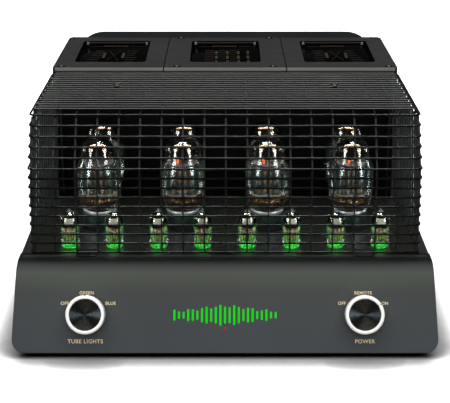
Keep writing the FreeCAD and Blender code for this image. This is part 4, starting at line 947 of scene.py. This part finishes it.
# ------------------------------------------------------------------ small valves
for q, x in enumerate(SMALL_X):
    y = yy(SMALL_D)
    o = (x, y, 0)
    nm = "small_valve_%d_" % (q + 1)
    R = SMALL_R
    prof = [(0.0, 92.8), (7.5, 92.8), (9.4, 93.4), (10.4, 95.0), (R, 97.5), (R, 123.5), (10.4, 126.0), (9.5, 128.6), (7.6, 130.8), (5.0, 132.2), (3.0, 132.8), (1.6, 133.1), (0.0, 133.2)]
    wall = [(max(r - 0.8, 0.0), z + (0.8 if z < 94 else (0 if z < 124 else -0.8))) for r, z in reversed(prof)]
    mb = MB()
    mb.lathe(prof, None, 48, 0, o)
    mb.lathe(wall, None, 48, 0, o)
    piece(nm + "envelope", mb, M["glass"], "chassis", ["small_valve_glass"] if q == 0 else (), angle=70.0)
    up = [(9.7, 117.0), (9.7, 123.4), (9.35, 125.6), (8.4, 127.9), (6.8, 129.8), (4.6, 131.0), (0.0, 131.8)]
    dn = [(0.0, 131.4), (4.4, 130.6), (6.5, 129.4), (8.0, 127.6), (9.0, 125.4), (9.4, 123.4), (9.4, 117.0)]
    mb = MB()
    mb.lathe(up + dn, None, 48, 0, o, lambda r, z, a, k: (r, z + (0.6 * math.sin(3 * a + q * 2) + 0.3 * math.sin(7 * a) if z < 118 else 0)))
    piece(nm + "flash", mb, M["film"], "chassis", angle=80.0)
    mb = MB()
    for sgn in (-1, 1):
        mb.prism(rrect(x + sgn * 3.7 - 2.9, x + sgn * 3.7 + 2.9, y - 3.8, y + 3.8, 1.5, 4), 99.4, 111.6)
        for dy in (-1, 1):
            mb.box(x + sgn * 3.7 - 0.35, x + sgn * 3.7 + 0.35, y + dy * 4.7 - 0.9, y + dy * 4.7 + 0.9, 100.0, 111.0)
    piece(nm + "anodes", mb, M["anode"], "chassis", ["small_valve_electrodes"] if q == 0 else (), bevel=0.15, seg=1)
    # insulator discs with upright tabs, like a little crown
    mb = MB()
    for zz in (98.5, 111.8):
        mb.prism([(x + (8.2 + (0.9 if (i % 4) < 2 else 0.0)) * math.cos(2 * math.pi * i / 48), y + (8.2 + (0.9 if (i % 4) < 2 else 0.0)) * math.sin(2 * math.pi * i / 48)) for i in range(48)], zz, zz + 0.7)
    for k_ in range(11):
        a = 2 * math.pi * (k_ + 0.25 * (q % 3)) / 11
        hh = 2.2 + 1.3 * math.sin(k_ * 2.7 + q * 1.3)
        mb.lathe([(0.0, 112.4), (0.85, 112.4), (0.7, 112.4 + hh * 0.6), (0.3, 112.4 + hh), (0.0, 112.5 + hh)], None, 8, 0, (x + 7.6 * math.cos(a), y + 7.6 * math.sin(a), 0))
    piece(nm + "crown", mb, M["tan"], "chassis")
    mb = MB()
    for k_ in range(7):
        a = math.radians(195 + 25 * k_)
        mb.prism(rrect(x + 7.0 * math.cos(a) - 0.8, x + 7.0 * math.cos(a) + 0.8, y + 6.2 * math.sin(a) - 0.3, y + 6.2 * math.sin(a) + 0.3, 0.2, 2), 103.0 + 1.2 * math.sin(k_ * 2 + q), 108.6 + 1.4 * math.sin(k_ * 3 + q))
    for k_ in range(5):
        mb.lathe([(0.0, 112.4), (0.6, 112.4), (0.6, 115.2 + 0.8 * math.sin(k_ * 2.1 + q)), (0.0, 115.6 + 0.8 * math.sin(k_ * 2.1 + q))], None, 8, 0, (x - 5.4 + 2.7 * k_, y - 4.2, 0))
    piece(nm + "copper", mb, M["dots"], "chassis")
    mb = MB()
    for i in range(9):
        a = math.radians(36 * i + 18)
        mb.sweep([(x + 5.9 * math.cos(a), y + 5.9 * math.sin(a), 93.9), (x + 6.1 * math.cos(a), y + 6.1 * math.sin(a), 96.2), (x + 4.6 * math.cos(a), y + 3.8 * math.sin(a), 98.6)], 0.4, 6)
    mb.sweep([(x + 4.2 * math.cos(t), y + 4.2 * math.sin(t), 118.4) for t in [2 * math.pi * i / 20 for i in range(20)]], 0.5, 6, 0, True)
    mb.sweep([(x, y + 4.2, 112.4), (x, y + 4.2, 118.4)], 0.35, 6)
    piece(nm + "leads", mb, M["steel"], "chassis")
    # cream patch on the inside front of the dome, ragged along its lower edge: a painted highlight of the light above
    mb = MB()
    vs, fs = [], []
    na = 14
    for layer, rr_ in enumerate((9.81, 9.74)):
        for j, zz in enumerate((121.2, 122.9, 124.5, 126.1, 127.4)):
            for i in range(na + 1):
                a = math.radians(-90 + (-31 + 62 * i / na) * (1.0 - 0.05 * j))
                zj = zz + (0.5 * math.sin(i * 1.9 + q) if j == 0 else 0)
                rj = rr_ * (1.0, 1.0, 0.985, 0.94, 0.885)[j]
                vs.append((x + rj * math.cos(a), y + rj * math.sin(a), zj))
    w_, h_ = na + 1, 5
    N_ = w_ * h_
    for j in range(h_ - 1):
        for i in range(na):
            p0, p1, p2, p3 = j * w_ + i, j * w_ + i + 1, (j + 1) * w_ + i + 1, (j + 1) * w_ + i
            fs += [(p0, p1, p2, p3), (N_ + p3, N_ + p2, N_ + p1, N_ + p0)]
    rim = [j * w_ for j in range(h_)] + [(h_ - 1) * w_ + i for i in range(1, na + 1)] + [j * w_ + na for j in range(h_ - 2, -1, -1)] + [i for i in range(na - 1, 0, -1)]
    for i0, i1 in zip(rim, rim[1:] + rim[:1]):
        fs.append((i0, i1, N_ + i1, N_ + i0))
    mb.add(vs, fs)
    piece(nm + "patch", mb, M["getter"], "chassis", angle=50.0)
    mb = MB()
    mb.lathe([(0.0, 133.26), (1.6, 133.17), (3.0, 132.88), (3.25, 132.92), (2.4, 133.5), (1.8, 134.2), (1.25, 135.1), (0.75, 135.9), (0.0, 136.2)], None, 24, 0, o)
    piece(nm + "tip", mb, M["tip"], "chassis", angle=60.0)
    # lit glass foot: a bright rim and nine lit seats round the pins
    mb = MB()
    mb.lathe([(6.3, 92.95), (7.6, 92.95), (8.3, 93.6), (8.6, 94.5), (8.4, 94.9), (7.8, 94.5), (7.2, 93.9), (6.3, 93.6)], None, 48, 0, o,
             lambda r, z, a, k: (r, z + (0.35 * math.sin(9 * a + q) if z > 93.7 else 0)))
    for i in range(9):
        a = math.radians(36 * i + 18)
        mb.lathe([(0.0, 92.95), (1.15, 92.95), (1.0, 94.3), (0.5, 94.9), (0.0, 95.0)], None, 12, 0, (x + 5.6 * math.cos(a), y + 5.6 * math.sin(a), 0))
    mb.lathe([(0.0, 92.95), (2.2, 92.95), (1.9, 94.7), (0.9, 96.1), (0.0, 96.5)], None, 20, 0, o)
    piece(nm + "lit_foot", mb, M["lamp_green"], "chassis")
    li = bpy.data.lights.new(nm + "light", "POINT")
    li.energy = 0.0008
    li.color = (0.05, 1.0, 0.12)
    li.shadow_soft_size = 0.004
    lo = bpy.data.objects.new(nm + "light", li)
    lo.location = (x / 1000, y / 1000 - 0.0072, 0.0975)
    bpy.context.scene.collection.objects.link(lo)

# ------------------------------------------------------------------ transformer covers with recessed panes
ZC, CT = 253.3, 12.0
DH, DB = 235.4, 404.0
covers = (("left", -199.2, -71.4, -69.9, -197.3, -176.2, -93.3), ("centre", -70.6, 70.6, 69.1, -69.1, -41.2, 41.9), ("right", 71.4, 199.2, 197.3, 69.9, 93.3, 176.2))
W0, W1 = 265.0, 379.4
for name, xa, xb, xc, xd, w0, w1 in covers:
    # rings of the outline, from the skirt's lower edge over the groove of the front and the small bevel to the top
    sl = 1.0 if name == "left" else 0.4
    sr = 1.0 if name == "right" else 0.4

    def outline(inset, front, n=6):
        lo = [(xa + inset * sl, DH + front), (xb - inset * sr, DH + front), (xc - inset * sr, DB - inset), (xd + inset * sl, DB - inset)]
        pts = []
        for k, p in enumerate(lo):
            outer_corner = (k in (0, 3) and name == "left") or (k in (1, 2) and name == "right")
            rad = (4.6 if k in (0, 1) else 7.0) if outer_corner else 0.7
            p0, p1, p2 = Vector((lo[k - 1][0], lo[k - 1][1], 0)), Vector((p[0], p[1], 0)), Vector((lo[(k + 1) % 4][0], lo[(k + 1) % 4][1], 0))
            for v in bend(p0, p1, p2, rad, n):
                pts.append((v.x, v.y))
        return pts

    rings = []
    for ins, fr_, zz in ((0.0, 0.0, ZC - CT), (0.0, 0.0, ZC - 5.1), (0.0, 1.3, ZC - 5.0), (0.0, 1.3, ZC - 4.0), (0.0, 0.0, ZC - 3.9),
                         (0.0, 0.0, ZC - 0.6), (0.2, 0.2, ZC - 0.2), (0.6, 0.6, ZC)):
        rings.append([(px, yy(py), zz) for px, py in outline(ins, fr_)])
    m_ = len(rings[0])
    # window rings with as many points as the outline
    cx, cy = (w0 + w1) / 2, (W0 + W1) / 2

    def win(inset, zz):
        base = rrect(w0 + inset, w1 - inset, W0 + inset, W1 - inset, max(5.0 - inset, 1.0), 6)
        return [(px, yy(py), zz) for px, py in base]
    wr = [win(-0.2, ZC), win(-0.06, ZC - 0.06), win(0.0, ZC - 0.2), win(0.0, ZC - 6.1)]
    mw = len(wr[0])
    # both loops start at their front right corner and run the same way
    def rot(r, k):
        return r[k:] + r[:k]
    rings = [rot(r, 7) for r in rings]
    mb = MB()
    vs, fs = [], []
    for r in rings:
        vs += r
    kind = []
    for a in range(len(rings) - 1):
        for i in range(m_):
            j = (i + 1) % m_
            fs.append((a * m_ + i, a * m_ + j, (a + 1) * m_ + j, (a + 1) * m_ + i))
            p_, q_ = rings[0][i], rings[0][j]
            front_face = abs(p_[1] - yy(DH)) < 0.3 and abs(q_[1] - yy(DH)) < 0.3
            side_face = abs(p_[0]) > 189.0 and abs(q_[0]) > 189.0 and not front_face and min(p_[1], q_[1]) < yy(DH + 9.0)
            # front faces: the upper band and the bevel take the light grey paint, a painted highlight; the front below
            # it takes the dark chassis paint, a painted shadow; the sides within 9 mm of the front take the dark
            # chassis paint too, painted shade at the rounded corners
            kind.append((1 if a >= 4 else 2) if front_face else (2 if side_face and a < 6 else 0))
    base = len(vs)
    dark_wall = []
    for r in wr:
        vs += r
    top = (len(rings) - 1) * m_
    assert m_ == mw, (m_, mw)
    for i in range(m_):
        j = (i + 1) % m_
        fs.append((top + i, top + j, base + j, base + i))
    for a in range(len(wr) - 1):
        for i in range(mw):
            j = (i + 1) % mw
            fs.append((base + a * mw + i, base + a * mw + j, base + (a + 1) * mw + j, base + (a + 1) * mw + i))
            dark_wall.append(len(fs) - 1)
    fs.append(tuple(base + (len(wr) - 1) * mw + i for i in range(mw)))
    fs.append(tuple(reversed(range(m_))))
    mb.add(vs, fs)
    mb.mi[:len(kind)] = kind
    for i in dark_wall:
        mb.mi[i] = 3
    piece("cover_" + name, mb, [M["cover"], M["edge"], M["chassis"], M["black_glass"]], "chassis", ["transformer_covers"] if name == "left" else (), angle=28.0)
    mb = MB()
    mb.prism([(px, yy(py)) for px, py in rrect(w0 + 0.2, w1 - 0.2, W0 + 0.2, W1 - 0.2, 4.8, 6)], ZC - 6.05, ZC - 4.3)
    piece("pane_" + name, mb, M["black_glass"], "chassis", ["window_panes"] if name == "left" else (), bevel=0.25)
    # generic line drawing on the pane: plain bars and steps
    zp = ZC - 4.28
    g, r_ = MB(), MB()
    def at(u, v):
        # place on the pane: u across from the left, v from the front edge to the back
        return w0 + (w1 - w0) * u, W0 + (W1 - W0) * v

    def bar(dst, u0, u1, v0, v1):
        p_, q_ = at(u0, v0), at(u1, v1)
        dst.box(p_[0], q_[0], yy(p_[1]), yy(q_[1]), zp, zp + 0.05)
    mir = (lambda u: 1.0 - u) if name == "right" else (lambda u: u)
    for k in range(9):
        uu = 0.3 + 0.042 * k
        bar(r_, uu, uu + 0.034, 0.885, 0.93)
    for u0, u1, v in ((0.1, 0.29, 0.9), (0.7, 0.9, 0.9)):
        bar(g, u0, u1, v, v + 0.008)
    if name == "centre":
        for u in (0.37, 0.53, 0.69, 0.83):
            for v in (0.08, 0.3, 0.52):
                bar(g, u - 0.018, u + 0.018, v, v + 0.15)
        for k in range(8):
            v = 0.06 + 0.09 * k
            bar(r_, 0.2, 0.34, v, v + 0.012)
            bar(g, 0.4, 0.5, v, v + 0.008)
            bar(g, 0.56, 0.66, v, v + 0.008)
    else:
        for u, v in ((0.36, 0.34), (0.64, 0.34)):
            bar(g, mir(u) - 0.02, mir(u) + 0.02, v, v + 0.24)
        for k in range(6):
            u0, u1, v = 0.12 + 0.02 * k, 0.3 + 0.01 * k, 0.16 + 0.1 * k
            bar(g if k % 2 else r_, min(mir(u0), mir(u1)), max(mir(u0), mir(u1)), v, v + 0.012)
            u0, u1 = 0.68, 0.8 + 0.02 * (k % 3)
            bar(r_ if k % 2 else g, min(mir(u0), mir(u1)), max(mir(u0), mir(u1)), v, v + 0.012)
        for k in range(22):
            # two crossing thin strokes in the middle
            t_ = k / 21.0
            for v in (0.24 + 0.42 * t_, 0.66 - 0.42 * t_):
                p_ = at(0.42 + 0.16 * t_, v)
                (g if k % 2 else r_).box(p_[0] - 0.45, p_[0] + 0.45, yy(p_[1]), yy(p_[1] + 0.9), zp, zp + 0.05)
    mb = MB()
    mb.sweep([(w0 + 4.2, yy(W1 - 1.9), ZC - 2.35), (w0 + 6.0, yy(W1 - 1.3), ZC - 2.35), (w1 - 6.0, yy(W1 - 1.3), ZC - 2.35), (w1 - 4.2, yy(W1 - 1.9), ZC - 2.35)], 1.25, 12)
    piece("window_bar_" + name, mb, M["chassis"], "chassis", angle=60.0)
    # the ends of the window bar take the light grey paint: painted highlights
    mb = MB()
    for xe in (w0 + 4.6, w1 - 4.6):
        mb.lathe([(0.0, ZC - 4.0), (1.5, ZC - 4.0), (1.6, ZC - 2.4), (1.2, ZC - 1.2), (0.5, ZC - 0.8), (0.0, ZC - 0.75)], None, 20, 0, (xe, yy(W1 - 2.6), 0))
    piece("window_bar_ends_" + name, mb, M["edge"], "chassis", angle=60.0)
    piece("pane_lines_gold_" + name, g, M["print_gold"], "chassis")
    piece("pane_lines_red_" + name, r_, M["print_red"], "chassis")

# screws of the covers: a dark countersink with a small head in light grey paint, a painted glint
mb = MB()
for sx in (-1, 1):
    for xs_, ds_ in ((189.3, 243.4), (189.3, 398.0), (55.6, 243.4), (55.6, 398.0)):
        for prof_, mi_ in (([(1.9, ZC - 0.02), (4.5, ZC - 0.02), (4.7, ZC + 0.06), (4.5, ZC + 0.14), (1.9, ZC + 0.14)], 0),
                           ([(0.0, ZC - 0.02), (1.8, ZC - 0.02), (1.8, ZC + 0.3), (1.4, ZC + 0.52), (0.6, ZC + 0.6), (0.0, ZC + 0.6)], 1)):
            mb.lathe(prof_, None, 24, mi_, (sx * xs_, yy(ds_), 0))
piece("cover_screw_heads", mb, [M["black_glass"], M["edge"]], "chassis", angle=40.0)

# ------------------------------------------------------------------ floor, lights, world
fm = Mat("pale_floor_painted_contact_shadow")
fm.color(fm.ramp(fm.noise(2.0, 2.0), [(0.3, (0.93, 0.93, 0.93)), (0.7, (0.96, 0.96, 0.96))]))
fm.set(Roughness=0.9, Specular_IOR_Level=0.1)
# contact shadow painted into the floor: its colour darkens with ambient occlusion within 46 mm of the amplifier
ao = fm.n("ShaderNodeAmbientOcclusion", samples=16)
ao.inputs["Distance"].default_value = 0.046
floor_shadow_mul = fm.n("ShaderNodeMix", data_type="RGBA", blend_type="MULTIPLY")
floor_shadow_mul.inputs[0].default_value = 1.0
fm.l(fm.b.inputs["Base Color"].links[0].from_socket, floor_shadow_mul.inputs[6])
fm.l(fm.ramp(ao.outputs["AO"], [(0.0, 0.03), (0.12, 0.085), (0.3, 0.1), (0.5, 0.118), (0.75, 0.215), (0.9, 0.5), (0.965, 1.0)]), floor_shadow_mul.inputs[7])
fm.color(floor_shadow_mul.outputs[2])
me = bpy.data.meshes.new("floor")
me.from_pydata([(-9, -9, 0), (9, -9, 0), (9, 9, 0), (-9, 9, 0)], [], [(0, 1, 2, 3)])
me.materials.append(fm.m)
floor = bpy.data.objects.new("floor", me)
bpy.context.scene.collection.objects.link(floor)
floor.visible_glossy = False
floor.visible_diffuse = False


def area(name, loc, aim, size, energy, col=(1, 1, 1)):
    li = bpy.data.lights.new(name, "AREA")
    li.shape = "RECTANGLE"
    li.size, li.size_y = size
    li.energy = energy
    li.color = col
    ob = bpy.data.objects.new(name, li)
    ob.location = loc
    ob.rotation_euler = (Vector(aim) - Vector(loc)).to_track_quat("-Z", "Y").to_euler()
    bpy.context.scene.collection.objects.link(ob)
    return ob


def soft(ob):
    # fill that lights surfaces without showing as a shape in gloss
    ob.visible_glossy = False
    ob.visible_transmission = False
    return ob


soft(area("key_top", (0.0, -0.3, 2.8), (0, -0.1, 0.0), (5.0, 4.0), 150))
soft(area("floor_back", (0.0, 2.6, 2.2), (0, 2.4, 0.0), (6.0, 3.0), 120))
soft(area("back_fill", (0.0, 3.2, 1.2), (0, 0.2, 0.1), (2.5, 1.2), 52))
ground = soft(area("floor_fill", (0.0, -1.4, 2.6), (0, -0.6, 0.0), (3.5, 2.0), 132))
front = soft(area("front_fill", (0.0, -2.6, 0.9), (0, 0, 0.1), (2.4, 1.0), 26))
def sharp(ob):
    # shows in gloss only, for the shaped highlights on glass and polished rims
    ob.visible_diffuse = False
    ob.light_linking.receiver_collection = polished
    return ob


def receivers(name, test):
    col = bpy.data.collections.new(name)
    for ob in bpy.data.objects:
        if ob.type in ("MESH", "FONT") and ob.name != "floor" and test(ob):
            col.objects.link(ob)
    return col


def wears(ob, keys):
    names = {M[k].name for k in keys}
    return any(ms.material and ms.material.name in names for ms in ob.material_slots)


polished = receivers("polished", lambda ob: wears(ob, ("glass", "getter", "film", "rust", "collar", "ring", "anode", "mica", "tan", "steel", "gold")) and not wears(ob, ("spun",)))
discs = receivers("discs", lambda ob: wears(ob, ("spun",)))
wires = receivers("wires", lambda ob: ob.name == "cage_wires")
glossed = receivers("glossed", lambda ob: ob.name not in ("cage_wires", "housing_front_sheet") and not wears(ob, ("spun", "fascia", "black_glass")))
front_lit = receivers("front_lit", lambda ob: ob.name not in ("cage_wires", "housing_front_sheet") and not wears(ob, ("spun",)))

sharp(area("strip_top", (0.0, -0.2, 1.75), (0, -0.05, 0.15), (3.2, 0.5), 80, (1.0, 0.94, 0.8)))
sharp(area("strip_back", (0.0, 0.55, 1.7), (0, -0.05, 0.15), (0.9, 0.3), 40, (0.86, 1.0, 0.94)))
for sgn, nm in ((-1, "left"), (1, "right")):
    sharp(area("side_" + nm, (sgn * 1.5, -1.25, 0.85), (0, -0.05, 0.15), (0.85, 0.8), 30, (0.97, 0.99, 1.0)))
    sharp(area("side_low_" + nm, (sgn * 1.5, -1.25, 0.1), (0, -0.05, 0.15), (0.4, 0.7), 14, (0.86, 0.96, 1.0)))
    # a low pair only for the turned discs of the knobs: their sheen fans out to the left and the right
    wedge = area("disc_" + nm, (sgn * 1.7, -1.5, 0.42), (0, -0.2, 0.05), (0.5, 0.62), 26, (0.78, 0.9, 1.0))
    wedge.visible_diffuse = False
    wedge.light_linking.receiver_collection = discs
for sgn, nm in ((-1, "left"), (1, "right")):
    sharp(area("rim_" + nm, (sgn * 1.9, 0.55, 0.42), (0, -0.08, 0.15), (0.3, 0.9), 12, (0.93, 1.0, 0.98)))
lift = area("green_lift", (0.0, yy(64.0) / 1000, 0.0945), (0.0, yy(84.0) / 1000, 0.108), (0.36, 0.006), 0.022, (0.06, 1.0, 0.12))
lift.visible_camera = False
lift.light_linking.receiver_collection = receivers("small_valves", lambda ob: ob.name.startswith("small_valve_"))
over = area("strip_wires", (0.0, -0.05, 1.6), (0, -0.05, 0.15), (1.06, 0.16), 22, (0.98, 1.0, 0.97))
over.visible_diffuse = False
over.light_linking.receiver_collection = wires
crown = area("disc_top", (0.0, -1.3, 2.2), (0, -0.2, 0.05), (2.4, 1.2), 26, (1.0, 0.98, 0.78))
crown.visible_diffuse = False
crown.light_linking.receiver_collection = discs
soft_strip = area("strip_soft", (0.0, -0.25, 1.75), (0, -0.05, 0.15), (1.5, 0.4), 9, (1.0, 0.98, 0.94))
soft_strip.visible_diffuse = False
soft_strip.light_linking.receiver_collection = glossed
ring_fill = soft(area("ring_fill", (0.0, -2.4, 1.0), (0, -0.25, 0.05), (2.0, 1.0), 20))
ring_fill.light_linking.receiver_collection = receivers("rings", lambda ob: ob.name.endswith("knob_ring"))
high = area("front_high", (0.0, -2.1, 1.3), (0, 0, 0.05), (2.2, 0.5), 12, (0.97, 0.99, 1.0))
high.light_linking.receiver_collection = front_lit
high.visible_glossy = False
front.light_linking.receiver_collection = front_lit
only_floor = bpy.data.collections.new("only_floor")
only_floor.objects.link(floor)
ground.light_linking.receiver_collection = only_floor
w = bpy.data.worlds.new("studio")
bpy.context.scene.world = w
w.use_nodes = True
w.node_tree.nodes["Background"].inputs[0].default_value = (0.92, 0.93, 0.94, 1)
w.node_tree.nodes["Background"].inputs[1].default_value = 0.06
bpy.context.scene.view_settings.view_transform = "Standard"
